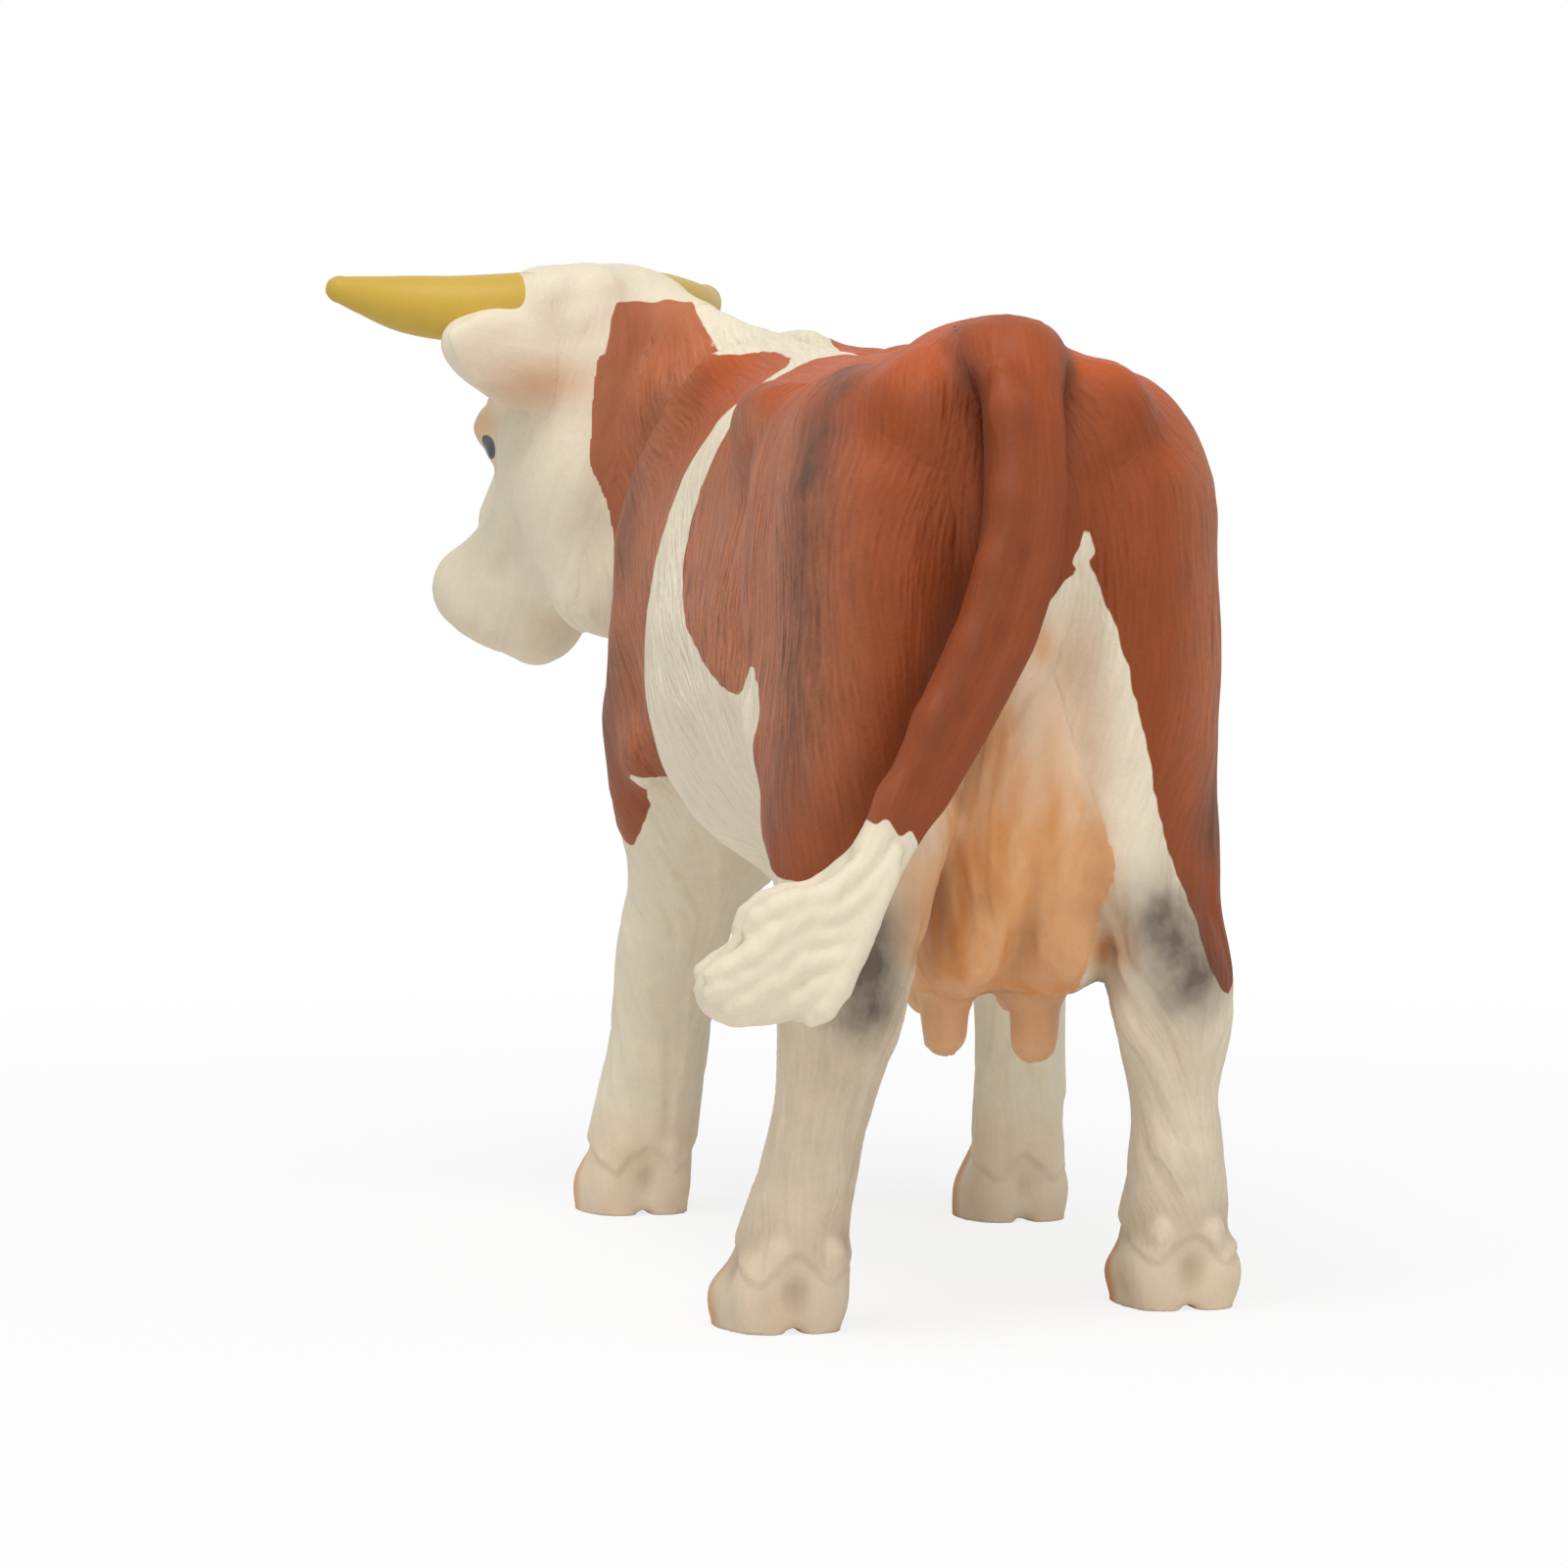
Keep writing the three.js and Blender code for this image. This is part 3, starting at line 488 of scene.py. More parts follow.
# The trunk's paint: acrylic over cream PVC, brushed on by hand, with a soft grey spray. These build
# its material's nodes.
CREAM, TAN, EYE_BLACK = "#e9dcc2", "#d8965a", "#0b0a0c"
# The second brown is painted light, the lighter orange brown of faces turned up.
BROWN, LIT_ORANGE_BROWN, WORN_BROWN, SPRAY_GREY = "#8f441e", "#b4531f", "#c58563", "#4a3d35"


def tint(code):
    rgb = [int(code[i:i + 2], 16) / 255 for i in (1, 3, 5)]
    return tuple(c / 12.92 if c <= 0.04045 else ((c + 0.055) / 1.055) ** 2.4 for c in rgb) + (1,)


def read(tree, name):
    node = tree.nodes.new("ShaderNodeAttribute")
    node.attribute_name = name
    return node.outputs["Fac"]


def mask(tree, value, low, high):
    node = tree.nodes.new("ShaderNodeMapRange")
    node.interpolation_type = "SMOOTHSTEP"
    tree.links.new(value, node.inputs["Value"])
    node.inputs["From Min"].default_value = low
    node.inputs["From Max"].default_value = high
    return node.outputs["Result"]


def feed(tree, socket, value):
    if isinstance(value, bpy.types.NodeSocket):
        tree.links.new(value, socket)
    else:
        socket.default_value = value


def mix(tree, factor, a, b, way="MIX"):
    node = tree.nodes.new("ShaderNodeMix")
    node.data_type = "RGBA"
    node.blend_type = way
    for socket, value in ((node.inputs[0], factor), (node.inputs[6], a), (node.inputs[7], b)):
        feed(tree, socket, value)
    return node.outputs[2]


def maths(tree, way, *values):
    node = tree.nodes.new("ShaderNodeMath")
    node.operation = way
    for socket, value in zip(node.inputs, values):
        feed(tree, socket, value)
    return node.outputs[0]


def cloud(tree, place, scale, detail):
    node = tree.nodes.new("ShaderNodeTexNoise")
    node.inputs["Scale"].default_value = scale
    node.inputs["Detail"].default_value = detail
    tree.links.new(place, node.inputs["Vector"])
    return maths(tree, "SUBTRACT", node.outputs["Fac"], 0.5)


def hair_strokes():
    """Noise drawn out along the way that the hair lies, about -1 to 1, for engraved strokes."""
    group = bpy.data.node_groups.new("hair_strokes", "ShaderNodeTree")
    for name, kind in (("Lie", "Vector"), ("Spacing", "Float"), ("Length", "Float")):
        group.interface.new_socket(name, in_out="INPUT", socket_type="NodeSocket" + kind)
    group.interface.new_socket("Strokes", in_out="OUTPUT", socket_type="NodeSocketFloat")
    given = group.nodes.new("NodeGroupInput").outputs
    out = group.nodes.new("NodeGroupOutput").inputs
    place = group.nodes.new("ShaderNodeTexCoord").outputs["Object"]
    fine = maths(group, "DIVIDE", 1.0, given["Spacing"])
    total = 0.0
    for step in range(-4, 5):
        along = group.nodes.new("ShaderNodeVectorMath")
        along.operation = "SCALE"
        group.links.new(given["Lie"], along.inputs[0])
        group.links.new(maths(group, "MULTIPLY", given["Length"], step / 8), along.inputs["Scale"])
        shifted = group.nodes.new("ShaderNodeVectorMath")
        group.links.new(place, shifted.inputs[0])
        group.links.new(along.outputs[0], shifted.inputs[1])
        noise = group.nodes.new("ShaderNodeTexNoise")
        noise.inputs["Detail"].default_value = 0
        group.links.new(shifted.outputs[0], noise.inputs["Vector"])
        group.links.new(fine, noise.inputs["Scale"])
        total = maths(group, "ADD", noise.outputs["Fac"], total)
    # nine noises of mean 0.5 add up to 4.5; their swing is stretched by 1.5
    group.links.new(maths(group, "MULTIPLY_ADD", total, 1.5, -6.75), out["Strokes"])
    return group


def brushed_paint():
    """Hand brushed and sprayed paint on a moulding: uneven cover, painted highlight and shade on the hair
    strokes, painted shade in hollows.
    """
    group = bpy.data.node_groups.new("brushed_paint", "ShaderNodeTree")
    for name, kind, value in (
        ("Colour", "Color", (1, 1, 1, 1)),
        ("Shade", "Color", (0.5, 0.41, 0.32, 1)),
        ("Stroke", "Float", 0),
        ("Streak", "Float", 0.06),
        ("Hollow", "Float", 0),
        ("Uneven", "Float", 1),
        ("Gloss", "Float", 0.5),
    ):
        socket = group.interface.new_socket(name, in_out="INPUT", socket_type="NodeSocket" + kind)
        socket.default_value = value
    for name, kind in (("Colour", "Color"), ("Roughness", "Float"), ("Height", "Float")):
        group.interface.new_socket(name, in_out="OUTPUT", socket_type="NodeSocket" + kind)
    given = group.nodes.new("NodeGroupInput").outputs
    out = group.nodes.new("NodeGroupOutput").inputs
    place = group.nodes.new("ShaderNodeTexCoord").outputs["Object"]
    broad = cloud(group, place, 90, 3)
    small = cloud(group, place, 700, 3)
    grain = cloud(group, place, 3600, 1)
    cover = maths(group, "MULTIPLY_ADD", broad, 0.2, maths(group, "MULTIPLY", small, 0.12))
    cover = maths(group, "MULTIPLY_ADD", grain, 0.1, cover)
    cover = maths(group, "MULTIPLY", cover, given["Uneven"])
    # Painted highlight and shade: the hair strokes make the colour lighter and darker, over the uneven
    # cover.
    light = maths(group, "MULTIPLY_ADD", given["Stroke"], given["Streak"], cover)
    light = maths(group, "ADD", light, 1.0)
    bright = group.nodes.new("ShaderNodeCombineColor")
    for socket in bright.inputs:
        group.links.new(light, socket)
    # Painted shade: the Hollow amount darkens the colour toward Shade and makes it rougher.
    deep = maths(group, "MULTIPLY", mask(group, given["Hollow"], -0.02, 0.45), 0.8)
    colour = mix(group, deep, given["Colour"], given["Shade"], "MULTIPLY")
    group.links.new(mix(group, 1.0, colour, bright.outputs[0], "MULTIPLY"), out["Colour"])
    rough = maths(group, "MULTIPLY_ADD", small, 0.25, given["Gloss"])
    group.links.new(maths(group, "MULTIPLY_ADD", deep, 0.15, rough), out["Roughness"])
    fine = maths(group, "MULTIPLY_ADD", grain, 0.25, maths(group, "MULTIPLY", small, 0.35))
    group.links.new(maths(group, "MULTIPLY_ADD", given["Stroke"], 0.5, fine), out["Height"])
    return group


STROKES, PAINT = hair_strokes(), brushed_paint()
HAIR_SPACING, HAIR_LENGTH, PAINT_DEPTH = 0.0004, 0.0024, 0.00009  # in metres
STROKE_LIGHT_AND_SHADE, WORN_STROKE_LIGHT = 0.05, 0.22  # how much lighter and darker the hair strokes are painted, as painted highlight and shade, and more on dry-brushed worn brown
PAINT_SHINE, VARNISH_ROUGHNESS = 0.25, 0.06
SPRAY_GRAIN, MOST_SPRAY = 420, 0.9


def brown_mask(tree):
    return mask(tree, read(tree, "brown"), -0.07, 0.07)


def eye_mask(tree):
    return mask(tree, read(tree, "eye"), -0.02, 0.03)


def painted(name, colour_of, gloss=0.5, uneven=1.0, haired=True, bump=0.6):
    look = bpy.data.materials.new(name)
    look.use_nodes = True
    tree = look.node_tree
    shader = tree.nodes["Principled BSDF"]
    paint = tree.nodes.new("ShaderNodeGroup")
    paint.node_tree = PAINT
    feed(tree, paint.inputs["Colour"], colour_of(tree))
    paint.inputs["Uneven"].default_value = uneven
    paint.inputs["Gloss"].default_value = gloss
    if haired:
        lines = tree.nodes.new("ShaderNodeGroup")
        lines.node_tree = STROKES
        lie = tree.nodes.new("ShaderNodeAttribute")
        lie.attribute_name = "lie"
        tree.links.new(lie.outputs["Vector"], lines.inputs["Lie"])
        lines.inputs["Spacing"].default_value = HAIR_SPACING
        lines.inputs["Length"].default_value = HAIR_LENGTH
        strokes = maths(tree, "MULTIPLY", lines.outputs[0], read(tree, "hair"))
        worn_brown = maths(tree, "MULTIPLY", read(tree, "worn"), brown_mask(tree))
        tree.links.new(strokes, paint.inputs["Stroke"])
        # Painted highlight and shade on the hair strokes, stronger on worn brown.
        streak = maths(tree, "MULTIPLY_ADD", worn_brown, WORN_STROKE_LIGHT, STROKE_LIGHT_AND_SHADE)
        tree.links.new(streak, paint.inputs["Streak"])
        # Painted shade in hollows.
        tree.links.new(read(tree, "hollow"), paint.inputs["Hollow"])
    rise = tree.nodes.new("ShaderNodeBump")
    rise.inputs["Strength"].default_value = bump
    rise.inputs["Distance"].default_value = PAINT_DEPTH
    tree.links.new(paint.outputs["Height"], rise.inputs["Height"])
    tree.links.new(rise.outputs[0], shader.inputs["Normal"])
    tree.links.new(paint.outputs["Colour"], shader.inputs["Base Color"])
    tree.links.new(paint.outputs["Roughness"], shader.inputs["Roughness"])
    shader.inputs["Specular IOR Level"].default_value = PAINT_SHINE
    return look, tree, shader, paint.outputs["Roughness"]


def coat_colour(tree):
    light = mix(tree, read(tree, "blush"), tint(CREAM), tint(TAN))
    # Painted light: brown faces turned up are mixed toward the lighter orange brown.
    dark = mix(tree, read(tree, "top"), tint(BROWN), tint(LIT_ORANGE_BROWN))
    dark = mix(tree, read(tree, "worn"), dark, tint(WORN_BROWN))
    colour = mix(tree, brown_mask(tree), light, dark)
    place = tree.nodes.new("ShaderNodeTexCoord").outputs["Object"]
    speckled = maths(tree, "MULTIPLY_ADD", cloud(tree, place, SPRAY_GRAIN, 4), 0.7, 0.8)
    spray = maths(tree, "MULTIPLY", read(tree, "grey"), speckled)
    colour = mix(tree, maths(tree, "MINIMUM", spray, MOST_SPRAY), colour, tint(SPRAY_GREY))
    return mix(tree, eye_mask(tree), colour, tint(EYE_BLACK))


# The eyes, which share the coat's material, are varnished.
coat_look, tree, shader, rough = painted("painted_coat", coat_colour)
dry = maths(tree, "SUBTRACT", 1.0, eye_mask(tree))
wet_or_dry = maths(tree, "MULTIPLY_ADD", dry, rough, VARNISH_ROUGHNESS)
tree.links.new(wet_or_dry, shader.inputs["Roughness"])
tree.links.new(eye_mask(tree), shader.inputs["Coat Weight"])
shader.inputs["Coat Roughness"].default_value = 0.05

# The mouldings, each with its box in the pattern, the grid's step there, its rank, by which one laps
# over another, its slot and material, and the rules of its own section.
MOULDS = dict(trunk=dict(box=((-49, -23, 29), (43, 23, 84)), step=0.46, rank=0, splits=0,
                         slot="brown_coat", look=coat_look, paint=paint_trunk))


# Neck with the brisket: one solid PVC moulding, pegged into the trunk's front and carrying the head.
# It wears the trunk's coat, in which the hair is only lightly cut near the head.
def paint_neck(node, points, values):
    values["hair"] *= 1 - 0.7 * ramp(points[:, 0], 38, 43)


MOULDS["neck"] = dict(box=((17, -15, 33), (62, 27, 87)), step=0.6, rank=2,
                      slot="brown_coat", look=coat_look, paint=paint_neck)

# Legs: four solid PVC mouldings, each with its hoof and dewclaws and a peg into the trunk. Foot and
# joint of each stand as in the CAD, forward and aside, with the side that the leg is on.
FEET = dict(
    leg_rear_left=((-32.2, 17.4), (-36.4, 13.0), 1),
    leg_rear_right=((-25.7, -16.8), (-33.4, -14.6), -1),
    leg_front_left=((46.6, 13.8), (39.6, 12.8), 1),
    leg_front_right=((34.1, -18.8), (33.5, -18.2), -1),
)
# How high the waist over each hoof lies, on the cow's left and right side of it
WAISTS = dict(
    leg_rear_left=(7.2, 6.0),
    leg_rear_right=(5.2, 5.0),
    leg_front_left=(5.7, 3.6),
    leg_front_right=(6.6, 5.2),
)
DEWCLAWS = 0.22  # their place on the way from the foot to the joint
# Height at which the pastern's fur ends over the hoof, by degrees round it from behind: two low flaps
FLAP_TURN = [0, 8, 23, 40, 62, 95, 180]
FLAP_HEIGHT = [6.4, 5.8, 4.0, 5.2, 6.3, 7.6, 8.6]
HOOF_INSET = 0.42
# Painted shade down each shank toward the hoof, strongest on the rear left leg.
SHANK_SHADE = dict(leg_rear_left=1.0, leg_rear_right=0.6, leg_front_left=0.1, leg_front_right=0.1)


def carve_joint(clay, node):
    """Hock or knee with its tendons and hollows."""
    _, (jx, jy), side = FEET[node]
    if "rear" in node:
        clay.egg("add", (jx - 4.0, jy + 0.2 * side, 28.0), (1.5, 1.6, 3.0), 1.5)
        clay.rod("add", (jx - 3.6, jy, 31), (jx - 1.0, jy - side, 41), 1.0, 1.5, 1.3)
        for out in (1, -1):
            hollow = [(jx - 2.2, jy + 5.9 * out, 30), (jx - 1.6, jy + 5.8 * out, 24)]
            clay.path("cut", hollow, 0.35, 2.0, 0.1)
            clay.egg("add", (jx + 0.6, jy + 3.7 * out, 26.0), (2.0, 0.9, 2.6), 1.2)
    else:
        clay.egg("add", (jx + 2.2, jy, 25.8), (1.7, 2.4, 3.0), 1.4)
        for out in (1, -1):
            clay.rod("cut", (jx + 1.5, jy + 5.2 * out, 30), (jx + 1.8, jy + 5.0 * out, 22), 0.4, 2)
        clay.rod("add", (jx - 2.8, jy, 27), (jx - 1.8, jy, 36), 0.9, 1.5)


def carve_stance(clay, node):
    """What each leg's own stance adds to its shank and hoof."""
    (fx, fy), (jx, jy), _ = FEET[node]
    if node == "leg_front_right":
        clay.rod("cut", (jx + 1, jy + 6.9, 33), (jx + 1, jy + 7.0, 8), 3.9, 2.5)
        clay.rod("add", (jx, jy - 2.4, 30), (jx, jy - 2.5, 12), 2.8, 2.0)
    if node == "leg_front_left":
        clay.rod("add", (jx + 0.5, jy - 1.9, 27), (fx, fy - 1.4, 6), 4.2, 2.0)
        clay.rod("add", (fx - 2, fy - 3.3, 4), (fx + 3, fy - 3.4, 2.5), 1.7, 1.2)
    if node == "leg_rear_left":
        clay.rod("add", (jx + 0.5, jy - 1.2, 24), (fx - 1, fy - 1.9, 7), 2.5, 1.5)
        clay.rod("add", (fx - 3, fy - 3.8, 5), (fx + 2, fy - 3.8, 2.5), 1.7, 1.2)
    if node == "leg_rear_right":
        clay.rod("cut", (jx + 1, jy + 6.7, 24), (jx + 1, jy + 6.4, 16), 1.1, 2.0)
        clay.rod("cut", (fx - 6, fy - 6.0, 4.8), (fx + 3, fy - 6.1, 5.2), 3.0, 1.4)
        clay.rod("add", (fx - 3, fy + 3.6, 4), (fx + 2, fy + 3.7, 2.5), 1.6, 1.2)


def carve_hoof(clay, node):
    """Two claws with heel bulbs behind and a cleft between them, a waist over them, dewclaws."""
    (fx, fy), (jx, jy), side = FEET[node]
    size = 1.0 if "rear" in node else 0.92
    mx, my = fx + (jx - fx) * DEWCLAWS, fy + (jy - fy) * DEWCLAWS
    for out, waist in zip((1, -1), WAISTS[node]):
        ring = [(fx + 5.8 * size, fy, 8.8), (fx + 3.4 * size, fy + 4.9 * size * out, waist + 0.9),
                (fx - 0.6 * size, fy + 5.9 * size * out, waist)]
        clay.path("cut", ring, 0.45, 1.0)
        clay.egg("add", (fx - 4.6 * size, fy + 2.6 * out * size, 3.0), (2.2, 2.5, 3.2), 1.2)
        clay.egg("add", (mx - 5.0 * size, my + 2.3 * out * size, 6.4), (0.9, 0.95, 1.25), 0.4)
    if side > 0:
        clay.egg("add", (fx + 0.5, fy + 3.9 * size, 2.0), (4.6, 2.0, 2.6), 1.2)
    clay.rod("cut", (fx - 8 * size, fy, 0.0), (fx + 9 * size, fy, 0.0), 0.6, 0.8)
    clay.rod("cut", (fx + 7.4 * size, fy, 0), (fx + 5.6 * size, fy, 8), 0.6, 0.8, 0.3)
    clay.rod("cut", (fx - 7.8 * size, fy, 0), (fx - 7.2 * size, fy, 3.6), 0.5, 1.6, 0.3)


def carve_leg(clay, node):
    carve_joint(clay, node)
    carve_stance(clay, node)
    carve_hoof(clay, node)


def fur_ends(points, node):
    fx, fy = FEET[node][0]
    turn = np.degrees(np.arctan2(np.abs(points[:, 1] - fy), fx - points[:, 0]))
    return np.interp(turn, FLAP_TURN, FLAP_HEIGHT) + 0.25 * speckle(points, 1.1, 5.9)


def leg_relief(node, points, ridges):
    """Wrinkles that deepen down the shank, and the hoof set back under the fur's edge."""
    z, edge = points[:, 2], fur_ends(points, node)
    height = (0.05 + 0.1 * ramp(-z, -46, -26) * ramp(z, 7, 11)) * ridges
    return height * ramp(z, edge - 0.6, edge + 0.6) - HOOF_INSET * (1 - ramp(z, edge - 0.25, edge + 0.25))


def paint_leg(node, points, values):
    """Tan on the hoof's front and on the cow's left of it, painted shade darkening down the shank."""
    x, y, z = points.T
    fx, fy = FEET[node][0]
    edge = fur_ends(points, node)
    rear = "rear" in node
    if not rear:
        values["brown"] = np.minimum(shoulder_patch(points), z - 33) + brush_wobble(points)
    front = ramp((x - fx) * 0.8 + (y - fy) * 0.5 + 0.5 * speckle(points, 2.1, 1.4), 0.4, 3.6)
    hoof = (1 - ramp(z, edge - 0.8, edge + 0.5)) * front * (0.85 + 0.25 * speckle(points, 2.5, 7.7))
    pastern = 0.3 * (1 - ramp(z, 6, 12)) * (0.6 + 0.4 * speckle(points, 2.8, 3.1))
    # Painted shade: tan and grey deepen down the shank.
    shank_shade = SHANK_SHADE[node] * (1 - ramp(z, 20, 46))
    values["blush"] = np.maximum.reduce([hoof, pastern, 0.13 * shank_shade])
    values["grey"] = np.maximum(values["grey"], 0.2 * shank_shade * (1 + 0.3 * speckle(points, 3.5, 6.1)))
    # Painted shade: the lower shank darker still, more on the rear legs.
    values["hollow"] += (0.2 if rear else 0.05) * (1 - ramp(z, 22, 44))
    values["hair"] *= ramp(z, edge, edge + 1.5)
    if rear:
        values["hair"] *= 0.6 + 0.3 * ramp(z, 22, 28) + 0.1 * ramp(z, 38, 46)
        paint_rump(points, values)
    else:
        values["hair"] *= 0.16 + 0.84 * ramp(z, 34, 44)


for node, low, high, slot in (
    ("leg_rear_left", (-47, -1, -2), (-9, 26, 80), "brown_coat"),
    ("leg_rear_right", (-47, -26, -2), (-9, 1, 80), "brown_coat"),
    ("leg_front_left", (16, -1, -2), (57, 23, 79), "cream_coat"),
    ("leg_front_right", (16, -28, -2), (46, 0, 79), "cream_coat"),
):
    MOULDS[node] = dict(box=(low, high), step=0.6, rank=3, slot=slot, look=coat_look,
                        relief=leg_relief, paint=paint_leg)

# Udder: a PVC moulding pegged up between the thighs, in two halves with a groove between them, with
# drawn-out skin above and four teats below. It is painted a soft orange all over.
TEATS = [(-23.0, 1.5, 20.2), (-23.0, -6.0, 19.5), (-13.5, 0.6, 22.8), (-13.5, -7.0, 22.8)]


def carve_udder(clay):
    clay.path("cut", [(-41.5, -2.4, 50), (-38.8, -2.3, 36), (-31, -2.3, 24.6)], 0.6, 2)
    clay.rod("cut", (-37, 7.4, 40), (-36, 6.6, 30), 0.7, 1.6)
    clay.rod("cut", (-31, 6.6, 24.4), (-20, 6.4, 24.4), 2.5, 1.2)
    clay.rod("cut", (-37, -12.2, 40), (-36, -11.8, 30), 0.7, 1.6)
    for y in (1.9, -6.3):
        clay.egg("add", (-28, y, 29.8), (8, 3.6, 4.4), 1.5)
    for x, y, tip in TEATS:
        clay.rod("add", (x, y, tip + 6.6), (x, y, tip + 1.9), 2.15, 0.5, 1.9)
        clay.egg("add", (x, y, tip + 6.4), (2.9, 2.9, 1.6), 0.8)
    clay.path("cut", [(-39.8, 1.2, 47), (-38.6, 2.4, 37), (-37.4, 3.6, 31)], 0.35, 1.5)
    clay.path("cut", [(-39.8, -5.6, 46), (-38.6, -6.6, 35), (-37.2, -8, 30)], 0.35, 1.5)


def paint_udder(node, points, values):
    z = points[:, 2]
    values["brown"] = np.full(len(points), NOWHERE)
    blush = np.maximum(udder_wash(points), 0.85 * ramp(-z, -46, -38))
    values["blush"] = np.where(z < 25.5, 0.76, blush)
    values["hair"] *= 0.2


udder_look, *_ = painted("udder_paint", coat_colour, 0.45)
MOULDS["udder"] = dict(box=((-43, -14, 17), (-6, 9, 56)), step=0.5, rank=1, wrinkle=0.1,
                       slot="udder_skin", look=udder_look, paint=paint_udder)

# Head: a PVC moulding pegged on the neck, in cream, with painted eyes and flesh-coloured rims. Its
# details are given forward along the face, aside and up from the poll, by the face's place and turn.
POLL = Matrix.Translation((51.848, 16.045, 85.26)) @ Matrix.Rotation(np.radians(27), 4, "Z")
FACE = POLL @ Matrix.Rotation(np.radians(50), 4, "Y")
# Curls of hair on the poll: place in the cow's frame, size.
CURLS = [((44.4, 21.5, 84.5), 1.9), ((45.0, 17.2, 85.0), 1.8), ((44.0, 19.2, 81.7), 1.9),
         ((43.8, 17.6, 78.6), 2.0)]
BROW = [(9.6, 7.3, -3.4), (11.6, 7.0, -2.7), (14.2, 6.5, -1.7), (16.8, 5.9, -2.1)]
NOSTRIL = [(35.2, 2.9, -6.0), (34.6, 4.2, -5.2), (33.4, 4.9, -3.4)]
MOUTH = [(36.6, 0, -11.0), (35.2, 3.6, -11.6), (31.5, 5.9, -12.0), (25.4, 6.8, -12.4)]


def carve_head(clay):
    for side in (1, -1):
        brow, nostril, mouth = [[(x, y * side, z) for x, y, z in line] for line in (BROW, NOSTRIL, MOUTH)]
        clay.egg("cut", (17.4, 8.2 * side, -4.4), (2.9, 1.4, 2.1), 1.4, FACE)
        clay.path("add", brow, 1.3, 1.0, 0.7, FACE)
        clay.egg("add", (15.9, 5.8 * side, -4.0), (1.9, 1.3, 1.5), 0.3, FACE)
        # cheek, the ridge and the hollow over the jaw, muzzle
        clay.egg("add", (12.6, 6.4 * side, -12), (5.6, 1.9, 4.8), 2, FACE)
        clay.rod("add", (18.5, 6.2 * side, -8.2), (25.5, 4.3 * side, -8.4), 0.8, 1.4, pose=FACE)
        clay.rod("cut", (19.5, 8.1 * side, -11.4), (25, 7.0 * side, -10.8), 0.8, 2.4, pose=FACE)
        clay.egg("add", (31.4, 3.8 * side, -6.2), (3.4, 2.9, 3.6), 1.4, FACE)
        clay.path("cut", nostril, 0.7, 0.6, 0.4, FACE)
        clay.path("cut", mouth, 0.35, 0.8, 0.25, FACE)
        clay.rod("cut", (23.6, 7.0 * side, -2.8), (28, 6.6 * side, -3.2), 0.8, 1.8, pose=FACE)
    # chin, the cleft under the nose, the nose's bridge
    clay.egg("add", (30, 0, -14.6), (3.4, 3.4, 2.0), 1.4, FACE)
    clay.rod("cut", (35.9, 0, -6.4), (36.9, 0, -11), 0.3, 0.7, pose=FACE)
    clay.rod("add", (4, 0, 0.4), (26, 0, -1.9), 2.0, 2, pose=FACE)
    # the poll's hair round the roots of the horns
    clay.rod("add", (47.2, 18, 83.3), (46.9, 22.0, 83.2), 3.9, 1.2)
    clay.rod("add", (52.4, 14.8, 83.3), (54.2, 12.6, 83.2), 3.9, 1.2)


def carve_curls(clay):
    for place, size in CURLS:
        clay.egg("add", place, (1.3, size, size * 0.8), 1.0)


def face_way(points, normals):
    return flat_on(np.tile(np.array(FACE.to_3x3() @ Vector((1, 0, -0.2))), (len(points), 1)), normals)


# Flesh-pink tan under the left ear, on the ear and on the head beneath it: painted shade, with the inner
# ear's flesh colour.
def pink_shade_under_ear(points):
    x, y, z = points.T
    return 0.5 * np.exp(-(((y - 22.5) / 5.0) ** 2) - ((z - 76.2) / 2.2) ** 2) * ramp(-x, -52, -48)


def paint_head(node, points, values):
    x, y, z = points.T
    brown = np.minimum(values["brown"], 51.5 - 0.35 * y - (x - 5))
    brown = np.minimum(brown, 83.7 + 0.25 * speckle(points, 1.5, 8.8) - z)
    values["brown"] = np.where(y > 5.4, brown, NOWHERE)
    back = np.array(FACE.inverted())
    face = points @ back[:3, :3].T + back[:3, 3]
    blush = pink_shade_under_ear(points)
    for side in (1, -1):
        eye = (face - [16.0, 7.4 * side, -4.0]) / [1.3, 1.5, 1.05]
        values["eye"] = np.maximum(values["eye"], 1.0 - np.linalg.norm(eye, axis=1))
        rim = (face - [14.8, 7.2 * side, -2.4]) / [3.6, 2.6, 2.6]
        blush = np.maximum(blush, 0.55 * np.exp(-np.linalg.norm(rim, axis=1) ** 2))
    muzzle = (face - [36, 0, -9]) / [4.2, 6.5, 5.0]
    values["blush"] = np.maximum(blush, 0.55 * np.exp(-np.linalg.norm(muzzle, axis=1) ** 2))
    # Painted shade in the head's hollows is halved.
    values["hollow"] *= 0.5
    values["hair"] *= 0.2


MOULDS["head"] = dict(box=((38, 3, 47), (74, 33, 91)), step=0.42, rank=4, wrinkle=0.03, round_off=0.5,
                      slot="cream_coat", look=coat_look, lie=face_way, paint=paint_head)

# Ears: two small PVC mouldings glued under the horns. The left one has a broad lobe that hangs
# outward, flesh-coloured underneath, and a flesh-pink painted shade lies under it.
EAR = Matrix.Translation((45.2, 24.4, 78.7)) @ Matrix.Rotation(np.radians(13), 4, "X")


def carve_ear(clay):
    clay.egg("add", (0, 0, 0), (2.7, 7.6, 4.3), 1.6, EAR)


def ear_way(points, normals):
    return np.tile(np.array((0.1, 1.0, 0.15)), (len(points), 1))


def paint_ear(node, points, values):
    values["brown"] = np.full(len(points), NOWHERE)
    values["hair"] *= 0.1
    if node == "ear_left":
        values["blush"] = pink_shade_under_ear(points)


